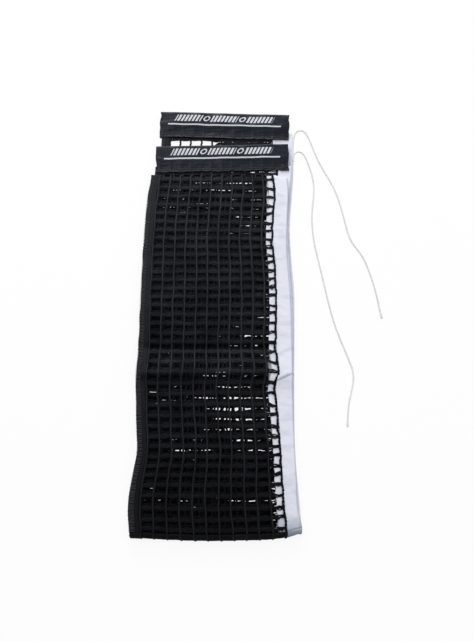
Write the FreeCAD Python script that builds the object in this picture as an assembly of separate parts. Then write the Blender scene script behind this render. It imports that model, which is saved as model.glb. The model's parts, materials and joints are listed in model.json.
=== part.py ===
"""Table-tennis net, folded in four for storage, with its two post sleeves and its loose net-cord ends.

The net is one long strip of ladder mesh.  A folded hem closes its lower edge and a folded tape its upper
edge, with the net cord inside the tape.  A black film sleeve is sewn over each short end and takes the post.
The strip is folded in half twice, so four layers lie on one another:

    layer 1 (lowest)  runs from sleeve A to the outer turn of the near crease
    layer 4 (top)     runs from that outer turn back to the far fold
    layer 3           runs from the far fold to the inner turn of the near crease
    layer 2           runs from that inner turn to sleeve B

Frame: millimetres, +Z up, X across the net with the tape at +X, Y along it with the sleeves at +Y.  The
origin is under the middle of the folded net, on the surface that it lies on.
"""
import FreeCAD, Part
import math
import os
from dataclasses import dataclass

from FreeCAD import Vector

# ---- driving dimensions -------------------------------------------------------------------------------
NET_HEIGHT = 150.0          # from the tape's edge to the hem's edge
FOLD_LENGTH = 358.8         # straight length of a layer, from the near crease to the far fold
LOWER_DRIFT = 8.0           # how far layers 1 and 2 stray towards +X by the cord's exit

RUNG_PITCH = 9.45           # spacing of the cross yarns along the net
RUNG_WIDTH = 2.0
RUNG_THICKNESS = 0.7
RUNG_CREST = 1.2            # flat width on a cross yarn's top and bottom
RUNG_HOLD = 1.0             # between the cord channel's foot and the cross yarns' ends
WALE_COUNT = 11             # knitted chains along the net, without the border chain beside the tape
WALE_WIDTH = 1.4
WALE_CREST = 0.6            # share of a chain's width that its crest keeps
WALE_THICKNESS = 0.6
BORDER_WIDTH = 2.0          # the thicker chain that borders the tape
YARN_GAP = 0.15             # between a chain and the cloth edge that it runs beside

CLOTH = 0.3                 # thickness of the woven tape and of the woven hem
HEM_WIDTH = 9.0
NARROW_LEAF = 15.5          # width of the tape's leaf on the chain side of the mesh
WIDE_LEAF = 23.0            # width of the tape's leaf on the other side
CHANNEL_FOOT = 4.0          # where the tape's cord channel ends and its flat leaves begin
CORD_DIAMETER = 1.6
CORD_CLEARANCE = 0.15
LAYER_GAP = 0.4             # free height between the cord channels of two layers

FILM = 0.35                 # thickness of the sleeves' plastic film
SLEEVE_LENGTH = 145.0
SLEEVE_DEPTH = 32.0         # from the mouth, where the net enters, to the pocket's round edge
SEAM_DEPTH = 8.0            # how far the net reaches into the mouth
LIP_DEPTH = 9.0             # flat part of the upper leaf before it rises to the pocket
SHOULDER_DEPTH = 15.0       # where the upper leaf reaches the pocket's full height
POCKET_GAP = 4.6            # free height inside the pocket
SLEEVE_B_START = 367.4      # from the near crease to the mouth of sleeve B
SLEEVE_A_START = 412.1      # and of sleeve A
SLEEVE_A_OFFSET = 1.5       # sleeve middles from the net's middle plane, across the net
SLEEVE_B_OFFSET = -0.5
SLEEVE_A_TILT = -1.8        # degrees about Z
SLEEVE_B_TILT = 1.2
CHANNEL_A_END = 394.0       # from the near crease to the cord's exit from layer 1
CHANNEL_B_END = 381.0       # and from layer 2
EXIT_RUN = 4.4              # how far each loose cord end runs straight on out of its channel
BEND_SHARE = 0.45           # share of the shorter leg that a loose cord's rounded bend takes

ROUND_SIDES = 8             # sides that stand for a full circle on the fine round sections
TURN_STEPS = 7              # flat steps round each half turn; an odd number has a flat at the nose

# ---- worked-out sizes ---------------------------------------------------------------------------------
LOWER_SKEW = LOWER_DRIFT / CHANNEL_A_END
CORD_RADIUS = CORD_DIAMETER / 2
CHANNEL_BORE = CORD_RADIUS + CORD_CLEARANCE
CHANNEL_RADIUS = CHANNEL_BORE + CLOTH
CHAIN_FACE = RUNG_THICKNESS / 2 + WALE_THICKNESS      # mesh face on the chain side, from the mid plane
PLAIN_FACE = RUNG_THICKNESS / 2 + CLOTH               # tape and hem faces, from the mid plane
LAYER_PITCH = 2 * CHANNEL_RADIUS + LAYER_GAP
LAYER_1_Z = max(CHAIN_FACE + FILM, CHANNEL_RADIUS)
OUTER_TURN = 3 * LAYER_PITCH / 2                      # mid-plane radius: layers 1 and 4 are 3 pitches apart
INNER_TURN = LAYER_PITCH / 2                          # layers 2 and 3, and 3 and 4, are one pitch apart
STACK_Z = LAYER_1_Z + OUTER_TURN                      # height of the near crease's axis
HINGE_SETBACK = OUTER_TURN                    # the crease unrolls, so the hinge lies in front of it

TURN_FLAT = math.cos(math.pi / (2 * TURN_STEPS))      # where the steps' flats lie, as a share of a radius
POCKET_RADIUS = POCKET_GAP / 2 + FILM
TILT_A = math.radians(abs(SLEEVE_A_TILT))
FAR_REACH = (
    SLEEVE_A_START
    + SLEEVE_DEPTH / 2
    + SLEEVE_DEPTH / 2 * math.cos(TILT_A)
    + SLEEVE_LENGTH / 2 * math.sin(TILT_A)
)
NEAR_REACH = (OUTER_TURN + max(CHANNEL_RADIUS, CHAIN_FACE)) * TURN_FLAT
CREASE_Y = NEAR_REACH - (NEAR_REACH + FAR_REACH) / 2
TAPE_EDGE_X = (NET_HEIGHT - LOWER_DRIFT) / 2
BORDER_S = NARROW_LEAF + YARN_GAP + BORDER_WIDTH / 2
LAST_WALE_S = NET_HEIGHT - HEM_WIDTH - YARN_GAP - WALE_WIDTH / 2
WALE_PITCH = (LAST_WALE_S - BORDER_S) / WALE_COUNT
RUNG_FROM = CHANNEL_FOOT + RUNG_HOLD                  # the cross yarns' ends, from the tape's edge
RUNG_TO = NET_HEIGHT - 2 * CLOTH - RUNG_THICKNESS

# Routes of the two loose cord ends over the surface, after their exit runs.  Each is chosen by hand.
CORD_A_ROUTE = [
    (78.0, 183.6, 1.0), (78.8, 190.4, 0.8), (79.9, 197.2, 0.8), (81.9, 201.5, 0.8),
    (85.8, 203.8, 0.8), (90.4, 203.0, 0.8), (93.4, 199.5, 0.8), (96.3, 192.7, 0.8),
    (100.0, 179.8, 0.8), (105.6, 162.7, 0.8), (112.8, 146.4, 0.8), (120.1, 131.6, 0.8),
    (125.3, 113.8, 0.8), (129.0, 94.4, 0.8), (132.0, 76.1, 0.8), (135.9, 63.8, 0.8),
    (142.2, 54.7, 0.8), (147.7, 44.5, 0.8), (151.8, 30.2, 0.8), (155.5, 14.9, 0.8),
    (158.1, -2.9, 0.8), (160.2, -19.7, 0.8),
]
CORD_B_ROUTE = [
    (79.0, 171.0, 4.0), (82.0, 173.8, 3.4), (86.0, 174.0, 2.7), (89.4, 171.4, 1.9),
    (91.9, 166.6, 1.2), (94.3, 158.6, 0.8), (97.6, 146.5, 0.8), (99.3, 130.6, 0.8),
    (97.4, 113.4, 0.8), (95.0, 95.8, 0.8), (95.2, 78.6, 0.8), (96.4, 62.7, 0.8),
    (99.2, 46.2, 0.8), (102.3, 29.3, 0.8), (105.4, 10.7, 0.8), (108.6, -7.4, 0.8),
    (112.8, -27.0, 0.8), (118.8, -45.7, 0.8), (125.1, -63.3, 0.8), (128.5, -75.2, 0.8),
    (127.3, -86.6, 0.8), (123.4, -98.9, 0.8), (120.4, -112.8, 0.8), (119.4, -126.8, 0.8),
]


@dataclass(frozen=True)
class Layer:
    """One layer of the folded strip: its mid-plane height and the side that its chains lie on."""

    number: int
    side: int
    skew: float

    @property
    def z(self):
        return LAYER_1_Z + (self.number - 1) * LAYER_PITCH

    def point(self, s, h):
        """Point on the crease line, s from the tape's edge and h from the mid plane to the chain side."""
        return Vector(TAPE_EDGE_X - s, CREASE_Y, self.z + self.side * h)


LAYER_1 = Layer(1, -1, LOWER_SKEW)
LAYER_2 = Layer(2, 1, LOWER_SKEW)
LAYER_3 = Layer(3, -1, 0.0)
LAYER_4 = Layer(4, 1, 0.0)


def closed_wire(points):
    """Closed polygon through the points."""
    return Part.makePolygon(points + points[:1])


def polygon_face(points):
    """Flat face inside a closed polygon."""
    return Part.Face(closed_wire(points))


def line(start, end):
    return Part.LineSegment(start, end).toShape()


def arc(start, middle, end):
    return Part.Arc(start, middle, end).toShape()


def wale_outline(layer, s, width):
    """Section of a knitted chain: wide where it lies on the rungs, narrower at its crest."""
    base, crest, foot = width / 2, width / 2 * WALE_CREST, RUNG_THICKNESS / 2
    outline = [(-base, foot), (base, foot), (crest, CHAIN_FACE), (-crest, CHAIN_FACE)]
    return [layer.point(s + offset, h) for offset, h in outline]


def round_points(layer, centre_s, radius, first, last):
    """Points on a circle round the strip's mid plane, from one angle in degrees to another."""
    steps = round(abs(last - first) / 360 * ROUND_SIDES)
    angles = [math.radians(first + (last - first) * step / steps) for step in range(steps + 1)]
    return [layer.point(centre_s + radius * math.cos(angle), radius * math.sin(angle)) for angle in angles]


def tape_outline(layer):
    """Section of the tape: one cloth folded round the cord, a narrow leaf on the chains' side."""
    at = layer.point
    high, low = PLAIN_FACE, RUNG_THICKNESS / 2
    outside = round_points(layer, CHANNEL_RADIUS, CHANNEL_RADIUS, 90, 270)
    inside = round_points(layer, CHANNEL_RADIUS, CHANNEL_BORE, 270, 90)
    upper_leaf = [at(CHANNEL_FOOT, low), at(NARROW_LEAF, low), at(NARROW_LEAF, high), at(CHANNEL_FOOT, high)]
    lower_leaf = [at(CHANNEL_FOOT, -high), at(WIDE_LEAF, -high), at(WIDE_LEAF, -low), at(CHANNEL_FOOT, -low)]
    return outside + lower_leaf + inside + upper_leaf


def hem_outline(layer):
    """Section of the hem: a band folded over the rungs' ends, round at the net's lower edge."""
    high, low = PLAIN_FACE, RUNG_THICKNESS / 2
    nose, edge = NET_HEIGHT - high, NET_HEIGHT - HEM_WIDTH
    outside = round_points(layer, nose, high, 90, -90)
    inside = round_points(layer, nose, low, -90, 90)
    at = layer.point
    return [at(edge, high)] + outside + [at(edge, -high), at(edge, -low)] + inside + [at(edge, low)]


def cord_outline(layer):
    """Section of the net cord inside the tape's channel."""
    return round_points(layer, CHANNEL_RADIUS, CORD_RADIUS, 0, 360)[:-1]


def straight(layer, outline, length):
    """Sweep a section from the crease line along its layer."""
    return polygon_face(outline).extrude(Vector(layer.skew * length, length, 0))


def half_turn(outline, axis_y, axis_z, direction):
    """Sections at even steps of a half turn about a line along X, the first and the last one included."""
    sections = []
    for step in range(TURN_STEPS + 1):
        spin = FreeCAD.Rotation(Vector(1, 0, 0), direction * 180 * step / TURN_STEPS)
        centre = Vector(0, axis_y, axis_z)
        sections.append([centre + spin.multVec(point - centre) for point in outline])
    return sections


def lofted(sections):
    """One solid through a row of sections that have the same number of corners."""
    return Part.makeLoft([closed_wire(section) for section in sections], True, True)


def near_turn(outline):
    """Sweep a section of layer 1 or 2 round the near crease to layer 4 or 3."""
    return lofted(half_turn(outline, CREASE_Y, STACK_Z, -1))


def through_far_fold(outline):
    """Sweep a section along layer 3, round the far fold and back along layer 4, as one solid."""
    along = Vector(0, FOLD_LENGTH, 0)
    fold = half_turn([point + along for point in outline], CREASE_Y + FOLD_LENGTH, STACK_Z + LAYER_PITCH, 1)
    return lofted([outline] + fold + [[point - along for point in fold[-1]]])


def wale_positions():
    """Places of the plain chains across the net, from the tape side to the hem."""
    return [BORDER_S + WALE_PITCH * (index + 1) for index in range(WALE_COUNT)]


def rung_outline(thickness):
    """Section of a cross yarn, as offsets along its width and through its thickness."""
    edge, crest, face = RUNG_WIDTH / 2, RUNG_CREST / 2, thickness / 2
    return [(-edge, 0), (-crest, -face), (crest, -face), (edge, 0), (crest, face), (-crest, face)]


def rung(layer, y):
    """One cross yarn, flat above and below, its ends held in the tape and in the hem."""
    start = TAPE_EDGE_X - RUNG_FROM + layer.skew * y
    corners = [Vector(start, CREASE_Y + y + dy, layer.z + dz) for dy, dz in rung_outline(RUNG_THICKNESS)]
    return polygon_face(corners).extrude(Vector(RUNG_FROM - RUNG_TO, 0, 0))


def rungs(layer, length):
    """All cross yarns of one layer up to the given length."""
    count = int((length - RUNG_WIDTH / 2) / RUNG_PITCH + 0.5)
    return [rung(layer, RUNG_PITCH * (index + 0.5)) for index in range(count)]


def crease_rung():
    """The cross yarn that lies on edge at the outer turn's nose."""
    start, nose = TAPE_EDGE_X - RUNG_FROM, CREASE_Y - OUTER_TURN * TURN_FLAT
    outline = rung_outline(RUNG_THICKNESS * TURN_FLAT)
    corners = [Vector(start, nose + dy, STACK_Z + dz) for dz, dy in outline]
    return polygon_face(corners).extrude(Vector(RUNG_FROM - RUNG_TO, 0, 0))


def trimmed_tape(layer, channel_end, leaf_end):
    """Tape of a lower layer: its cord channel and its flat leaves end at different places."""
    longest = max(channel_end, leaf_end)
    solid = straight(layer, tape_outline(layer), longest)
    foot = TAPE_EDGE_X - CHANNEL_FOOT + layer.skew * min(channel_end, leaf_end)
    beyond = longest - min(channel_end, leaf_end)
    width = WIDE_LEAF + layer.skew * beyond
    left = foot if channel_end < leaf_end else foot - width
    corner = Vector(left, CREASE_Y + longest - beyond, layer.z - CHANNEL_RADIUS)
    return solid.cut(Part.makeBox(width, beyond, 2 * CHANNEL_RADIUS, corner))


def sleeve(layer, start, offset, tilt):
    """Post sleeve: one film folded over the far edge, with a flat mouth for the net and an open pocket."""
    low_face = CHAIN_FACE if layer.side < 0 else PLAIN_FACE
    bottom = layer.z - low_face - FILM
    mouth = CHAIN_FACE + PLAIN_FACE
    lip, top, axis = bottom + mouth + 2 * FILM, bottom + 2 * POCKET_RADIUS, bottom + POCKET_RADIUS
    rise = math.atan2(top - lip, SHOULDER_DEPTH - LIP_DEPTH)
    shift = FILM * math.tan(rise / 2)
    bend = SLEEVE_DEPTH - POCKET_RADIUS
    x, y = offset - SLEEVE_LENGTH / 2, CREASE_Y + start

    def at(depth, z):
        return Vector(x, y + depth, z)

    inner = POCKET_RADIUS - FILM
    edges = [
        line(at(0, bottom), at(bend, bottom)),
        arc(at(bend, bottom), at(SLEEVE_DEPTH, axis), at(bend, top)),
        line(at(bend, top), at(SHOULDER_DEPTH, top)),
        line(at(SHOULDER_DEPTH, top), at(LIP_DEPTH, lip)),
        line(at(LIP_DEPTH, lip), at(0, lip)),
        line(at(0, lip), at(0, lip - FILM)),
        line(at(0, lip - FILM), at(LIP_DEPTH + shift, lip - FILM)),
        line(at(LIP_DEPTH + shift, lip - FILM), at(SHOULDER_DEPTH + shift, top - FILM)),
        line(at(SHOULDER_DEPTH + shift, top - FILM), at(bend, top - FILM)),
        arc(at(bend, top - FILM), at(bend + inner, axis), at(bend, bottom + FILM)),
        line(at(bend, bottom + FILM), at(0, bottom + FILM)),
        line(at(0, bottom + FILM), at(0, bottom)),
    ]
    solid = Part.Face(Part.Wire(edges)).extrude(Vector(SLEEVE_LENGTH, 0, 0))
    solid.rotate(Vector(offset, y + SLEEVE_DEPTH / 2, 0), Vector(0, 0, 1), tilt)
    return solid


def channel_mouth(layer, channel_end):
    """Middle of the cord where it leaves its channel."""
    mouth = layer.point(CHANNEL_RADIUS, 0)
    return mouth + Vector(layer.skew * channel_end, channel_end, 0)


def free_cord(name, start, route):
    """Cord end along straight runs that tangent arcs join, each arc as large as its runs allow."""
    points = [start, start + Vector(0, EXIT_RUN, 0)] + [Vector(*place) for place in route]
    edges, radii, position = [], [], points[0]
    for before, corner, after in zip(points, points[1:], points[2:]):
        incoming, outgoing = corner - before, after - corner
        reach = BEND_SHARE * min(incoming.Length, outgoing.Length)
        half_angle = incoming.getAngle(outgoing) / 2
        radii.append(reach / math.tan(half_angle))
        incoming.normalize()
        outgoing.normalize()
        enter, leave = corner - incoming * reach, corner + outgoing * reach
        inward = outgoing - incoming
        inward.normalize()
        middle = corner + inward * (radii[-1] / math.cos(half_angle) - radii[-1])
        edges += [line(position, enter), arc(enter, middle, leave)]
        position = leave
    edges.append(line(position, points[-1]))
    path = Part.Wire(edges)
    angles = [math.tau * side / ROUND_SIDES for side in range(ROUND_SIDES)]
    corners = [start + Vector(math.cos(angle), 0, math.sin(angle)) * CORD_RADIUS for angle in angles]
    tube = path.makePipeShell([closed_wire(corners)], True, False)
    expected = polygon_face(corners).Area * path.Length
    print(f"{name}: length {path.Length:.1f} mm, radii", " ".join(f"{radius:.1f}" for radius in radii))
    print(f"{name}: volume {tube.Volume:.1f} mm3, section times length {expected:.1f} mm3")
    return tube


def build_lower_half():
    """Layers 1 and 2 with their sleeves."""
    nodes = {}
    reaches = {
        LAYER_1: (SLEEVE_A_START + SEAM_DEPTH, CHANNEL_A_END),
        LAYER_2: (SLEEVE_B_START + SEAM_DEPTH, CHANNEL_B_END),
    }
    for layer, (net_end, channel_end) in reaches.items():
        name = f"layer_{layer.number}"
        nodes[f"wales_{name}"] = [
            straight(layer, wale_outline(layer, s, WALE_WIDTH), net_end) for s in wale_positions()
        ]
        nodes[f"border_yarn_{name}"] = [straight(layer, wale_outline(layer, BORDER_S, BORDER_WIDTH), net_end)]
        nodes[f"rungs_{name}"] = rungs(layer, net_end)
        nodes[f"hem_{name}"] = [straight(layer, hem_outline(layer), net_end)]
        nodes[f"tape_{name}"] = [trimmed_tape(layer, channel_end, net_end)]
        nodes[f"net_cord_{name}"] = [straight(layer, cord_outline(layer), channel_end)]
    nodes["sleeve_a"] = [sleeve(LAYER_1, SLEEVE_A_START, SLEEVE_A_OFFSET, SLEEVE_A_TILT)]
    nodes["sleeve_b"] = [sleeve(LAYER_2, SLEEVE_B_START, SLEEVE_B_OFFSET, SLEEVE_B_TILT)]
    return nodes


def build_near_crease():
    """The two nested turns that join layer 1 to layer 4 and layer 2 to layer 3."""
    nodes = {}
    for layer, name in ((LAYER_1, "crease_outer"), (LAYER_2, "crease_inner")):
        nodes[f"wales_{name}"] = [near_turn(wale_outline(layer, s, WALE_WIDTH)) for s in wale_positions()]
        nodes[f"border_yarn_{name}"] = [near_turn(wale_outline(layer, BORDER_S, BORDER_WIDTH))]
        nodes[f"hem_{name}"] = [near_turn(hem_outline(layer))]
        nodes[f"tape_{name}"] = [near_turn(tape_outline(layer))]
        nodes[f"net_cord_{name}"] = [near_turn(cord_outline(layer))]
    nodes["rung_crease_outer"] = [crease_rung()]
    return nodes


def build_upper_half():
    """Layers 3 and 4, whose long pieces run through the far fold."""
    nodes = {
        "wales_upper": [through_far_fold(wale_outline(LAYER_3, s, WALE_WIDTH)) for s in wale_positions()],
        "border_yarn_upper": [through_far_fold(wale_outline(LAYER_3, BORDER_S, BORDER_WIDTH))],
        "hem_upper": [through_far_fold(hem_outline(LAYER_3))],
        "tape_upper": [through_far_fold(tape_outline(LAYER_3))],
        "net_cord_upper": [through_far_fold(cord_outline(LAYER_3))],
    }
    for layer in (LAYER_3, LAYER_4):
        nodes[f"rungs_layer_{layer.number}"] = rungs(layer, FOLD_LENGTH)
    return nodes


def build_free_cords():
    """The net cord's two loose ends."""
    mouth_a = channel_mouth(LAYER_1, CHANNEL_A_END)
    mouth_b = channel_mouth(LAYER_2, CHANNEL_B_END)
    return {
        "cord_end_a": [free_cord("cord_end_a", mouth_a, CORD_A_ROUTE)],
        "cord_end_b": [free_cord("cord_end_b", mouth_b, CORD_B_ROUTE)],
    }


def main():
    """Write one STEP file for each node and print the places that other data refer to."""
    os.makedirs("parts", exist_ok=True)
    nodes = {**build_lower_half(), **build_near_crease(), **build_upper_half(), **build_free_cords()}
    for name, solids in nodes.items():
        shape = solids[0] if len(solids) == 1 else Part.makeCompound(solids)
        shape.exportStep(f"parts/{name}.step")
    box = Part.makeCompound([s for n, group in nodes.items() if "cord_end" not in n for s in group]).BoundBox
    print(f"nodes {len(nodes)}, x {box.XMin:.2f} {box.XMax:.2f}, y {box.YMin:.2f} {box.YMax:.2f}")
    print(f"z {box.ZMin:.2f} {box.ZMax:.2f}, crease y {CREASE_Y:.2f}, tape edge x {TAPE_EDGE_X:.2f}")
    print(f"hinge y {CREASE_Y - HINGE_SETBACK:.3f}, z {STACK_Z:.3f}, wale pitch {WALE_PITCH:.2f}")
    print("cord exits", channel_mouth(LAYER_1, CHANNEL_A_END), channel_mouth(LAYER_2, CHANNEL_B_END))


main()
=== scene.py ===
"""Looks of a table-tennis net that lies folded in four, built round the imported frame.

The net is one strip of ladder mesh.  Knitted chains run along it and cross yarns tie them together.  A folded
hem closes one long edge and a white folded tape, with the net cord inside, the other.  A film sleeve is sewn
over each short end.  Layer 1 lies lowest and layer 4 on top.

The builders work in millimetres, in the frame's own axes, and a mesh becomes metres when it is made.  The
loose cord ends keep their route in metres.
"""
import json
import logging
import math
from collections.abc import Callable
from dataclasses import dataclass
from enum import Enum
from functools import partial

import bpy
import numpy as np
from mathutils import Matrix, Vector


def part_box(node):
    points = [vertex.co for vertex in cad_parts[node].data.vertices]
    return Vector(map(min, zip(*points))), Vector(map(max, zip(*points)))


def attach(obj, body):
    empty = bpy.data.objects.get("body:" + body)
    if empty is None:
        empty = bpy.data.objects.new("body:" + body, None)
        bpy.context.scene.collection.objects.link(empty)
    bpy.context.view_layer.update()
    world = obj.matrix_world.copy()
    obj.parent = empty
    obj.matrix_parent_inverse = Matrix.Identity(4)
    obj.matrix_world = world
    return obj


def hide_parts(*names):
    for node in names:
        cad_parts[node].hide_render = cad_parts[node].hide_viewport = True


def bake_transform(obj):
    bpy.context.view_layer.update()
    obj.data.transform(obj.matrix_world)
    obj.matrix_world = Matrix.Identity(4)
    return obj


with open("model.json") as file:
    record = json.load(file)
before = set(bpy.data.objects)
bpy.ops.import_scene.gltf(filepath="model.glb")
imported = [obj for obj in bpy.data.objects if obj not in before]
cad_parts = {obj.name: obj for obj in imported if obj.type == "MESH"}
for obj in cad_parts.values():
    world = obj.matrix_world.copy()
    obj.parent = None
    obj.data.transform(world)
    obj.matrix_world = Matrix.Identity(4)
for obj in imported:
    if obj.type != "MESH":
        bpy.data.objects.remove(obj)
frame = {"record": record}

LOG = logging.getLogger("folded_net")
MM = 0.001
FABRIC_MAP = "fabric"
UP = np.array([0.0, 0.0, 1.0])
Color = tuple[float, float, float]


class Body(Enum):
    """The frame's two moving halves."""

    LOWER = "lower_half"
    UPPER = "upper_half"


class Turn(Enum):
    """The two nested turns of the near crease."""

    OUTER = "crease_outer"
    INNER = "crease_inner"


# ---- small numeric helpers ----------------------------------------------------------------------------


def ripple(seed: int, span: float, *places: np.ndarray, waves: int = 4) -> np.ndarray:
    """Smooth seeded unevenness between about -1 and 1.

    Args:
        seed: picks one pattern.
        span: distance over which the pattern changes, in the places' unit.
        places: one array for each direction.
        waves: how many waves are added up.

    Returns:
        One value for each place.
    """
    rng = np.random.default_rng(seed)
    total = np.zeros(np.broadcast_shapes(*(np.shape(place) for place in places)))
    for _ in range(waves):
        turns = rng.normal(0, 1 / span, len(places))
        phase = rng.random()
        total = total + np.sin(math.tau * (sum(t * p for t, p in zip(turns, places)) + phase))
    return total / math.sqrt(waves)


def hump(places: np.ndarray, middle: float, reach: float) -> np.ndarray:
    """Round bump of height 1 at the middle that fades out over the reach."""
    return np.exp(-(((places - middle) / reach) ** 2))


def rise(places: np.ndarray, start: float, end: float) -> np.ndarray:
    """Smooth step from 0 at start to 1 at end."""
    share = np.clip((places - start) / (end - start), 0, 1)
    return share * share * (3 - 2 * share)


@dataclass(frozen=True)
class Curve:
    """Smooth line through a few listed (place, value) knots, level beyond its ends."""

    knots: tuple[tuple[float, float], ...] = ((-1.0, 0.0), (1.0, 0.0))

    def at(self, places: np.ndarray) -> np.ndarray:
        """Values of the line.

        Args:
            places: where the values are wanted.

        Returns:
            One value for each place.
        """
        x, y = np.array(self.knots).T
        slope = np.gradient(y, x)
        slope[[0, -1]] = 0
        left = np.clip(np.searchsorted(x, places) - 1, 0, len(x) - 2)
        gap = x[left + 1] - x[left]
        share = np.clip((places - x[left]) / gap, 0, 1)
        square, cube = share**2, share**3
        start = (2 * cube - 3 * square + 1) * y[left] + (cube - 2 * square + share) * gap * slope[left]
        end = (3 * square - 2 * cube) * y[left + 1] + (cube - square) * gap * slope[left + 1]
        return start + end


# ---- meshes -------------------------------------------------------------------------------------------


@dataclass
class Skin:
    """Closed skins over rings of points, all with the same number of rings and corners.

    rings[k, i, j] is corner j of ring i of strand k, in millimetres.  around has one more entry than a ring has
    corners, and along one for each ring.  Both are in millimetres and become the cloth map's two directions.
    """

    rings: np.ndarray
    around: np.ndarray
    along: np.ndarray

    def faces(self) -> tuple[np.ndarray, np.ndarray]:
        """Four-cornered faces that wrap the rings and close both ends, turned outwards.

        Returns:
            The corner numbers of each face, and their places on the cloth map.
        """
        strands, count, sides, _ = self.rings.shape
        k, i, j = np.meshgrid(np.arange(strands), np.arange(count - 1), np.arange(sides), indexing="ij")
        after = (j + 1) % sides
        base = (k * count + i) * sides
        walls = np.stack([base + j, base + after, base + sides + after, base + sides + j], -1).reshape(-1, 4)
        u0, u1, v0, v1 = self.around[j], self.around[j + 1], self.along[i], self.along[i + 1]
        wall_map = np.stack([u0, v0, u1, v0, u1, v1, u0, v1], -1).reshape(-1, 4, 2)
        j = np.arange(sides // 2 - 1)
        end = np.stack([j, j + 1, sides - 2 - j, sides - 1 - j], -1)
        first = (np.arange(strands) * count * sides)[:, None, None] + end[None, :, ::-1]
        last = (np.arange(1, strands + 1) * count * sides - sides)[:, None, None] + end[None]
        ends = np.concatenate([first.reshape(-1, 4), last.reshape(-1, 4)])
        end_map = np.stack([self.around[ends % sides], self.along[ends // sides % count]], -1)
        quads, places = np.concatenate([walls, ends]), np.concatenate([wall_map, end_map])
        flat = self.rings.reshape(-1, 3)
        a, b, c, d = (flat[quads[:, corner]] - flat[0] for corner in range(4))
        volume = (a * np.cross(b, c)).sum() + (a * np.cross(c, d)).sum()
        if volume < 0:
            quads, places = quads[:, ::-1], places[:, ::-1]
        return quads, places


def shown(name: str, data: bpy.types.ID | None) -> bpy.types.Object:
    """Make an object of the data and link it to the scene."""
    made = bpy.data.objects.new(name, data)
    bpy.context.scene.collection.objects.link(made)
    return made


def skinned(name: str, skins: list[Skin], material: bpy.types.Material) -> bpy.types.Object:
    """Make one smooth mesh object of several skins.

    Args:
        name: the object's name.
        skins: what it is made of.
        material: its finish.

    Returns:
        The new object, linked to the scene.
    """
    points, quads, places, offset = [], [], [], 0
    for skin in skins:
        skin_quads, skin_places = skin.faces()
        points.append(skin.rings.reshape(-1, 3) * MM)
        quads.append(skin_quads + offset)
        places.append(skin_places)
        offset += len(points[-1])
    faces = np.concatenate(quads).astype(np.int32)
    mesh = bpy.data.meshes.new(name)
    mesh.vertices.add(offset)
    mesh.vertices.foreach_set("co", np.concatenate(points).astype(np.float32).ravel())
    mesh.loops.add(faces.size)
    mesh.loops.foreach_set("vertex_index", faces.ravel())
    mesh.polygons.add(len(faces))
    mesh.polygons.foreach_set("loop_start", np.arange(0, faces.size, 4, dtype=np.int32))
    mesh.update(calc_edges=True)
    mesh.polygons.foreach_set("use_smooth", np.ones(len(faces), bool))
    cloth_map = mesh.uv_layers.new(name=FABRIC_MAP)
    cloth_map.data.foreach_set("uv", np.concatenate(places).astype(np.float32).ravel())
    mesh.materials.append(material)
    return shown(name, mesh)


def unit(vectors: np.ndarray) -> np.ndarray:
    """The vectors, each one unit long."""
    return vectors / np.maximum(np.linalg.norm(vectors, axis=-1, keepdims=True), 1e-9)


def lengths(lines: np.ndarray) -> np.ndarray:
    """Distance along the first of some lines, from its start."""
    steps = np.linalg.norm(np.diff(lines[0], axis=0), axis=-1)
    return np.concatenate([[0.0], np.cumsum(steps)])


def yarn(lines: np.ndarray, out: np.ndarray, width: float, thickness: float, sides: int = 6) -> Skin:
    """Oval tubes along lines.

    Args:
        lines: middle lines, one row for each strand.
        out: direction of the thickness at each point.
        width: full width across the line.
        thickness: full thickness.
        sides: corners of the section, an even number.

    Returns:
        The tubes as one skin.
    """
    ahead = unit(np.gradient(lines, axis=1))
    across = unit(np.cross(ahead, np.broadcast_to(out, lines.shape)))
    up = np.cross(across, ahead)
    angles = math.tau * (np.arange(sides) + 0.5) / sides
    full = 2 * math.cos(math.pi / sides)
    wide, high = np.cos(angles) * width / full, np.sin(angles) * thickness / full
    rings = lines[:, :, None] + across[:, :, None] * wide[:, None] + up[:, :, None] * high[:, None]
    around = np.linspace(0, math.pi * (width + thickness) / 2, sides + 1)
    return Skin(rings, around, lengths(lines))


def shell(middle: np.ndarray, thickness: float) -> Skin:
    """Thin closed skin on both sides of a surface.

    Args:
        middle: middle surface as rows of points, stations first and then across the profile.
        thickness: full thickness of the film or cloth.

    Returns:
        The skin, with its rims.
    """
    along, across = np.gradient(middle, axis=0), np.gradient(middle, axis=1)
    offset = unit(np.cross(along, across)) * thickness / 2
    rings = np.concatenate([middle + offset, (middle - offset)[:, ::-1]], axis=1)[None]
    profile = lengths(middle[len(middle) // 2][None])
    around = np.concatenate([profile, profile[::-1], profile[:1]])
    return Skin(rings, around, lengths(middle[None, :, middle.shape[1] // 2]))


# ---- the folded strip ---------------------------------------------------------------------------------


@dataclass(frozen=True)
class NetLayer:
    """One layer of the strip, and how the hands that folded it left it.

    edge, border and hem say how far the tape's edge, the border chain and the hem stray towards +X, by place
    along Y.  sway is what the middle of the mesh adds to that.  lift says how far the layer stands over its
    flat height.  rung_shift moves the layer's cross yarns along it.
    """

    chains_up: bool
    edge: Curve
    border: Curve
    hem: Curve
    sway: float
    rung_shift: float
    lift: Curve = Curve()


@dataclass(frozen=True)
class Stretch:
    """A length of the strip: a layer, the upper half or a turn of the near crease.

    pair names the layers that it runs from and to, and on is what its pieces move with.  run holds distances
    along it.  For each of them y and z give the mid plane, out_y and out_z the direction of the chains' side,
    and high the share of the pair's second layer.
    """

    name: str
    pair: tuple[int, int]
    on: Body | Turn
    run: np.ndarray
    y: np.ndarray
    z: np.ndarray
    out_y: np.ndarray
    out_z: np.ndarray
    high: np.ndarray


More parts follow.
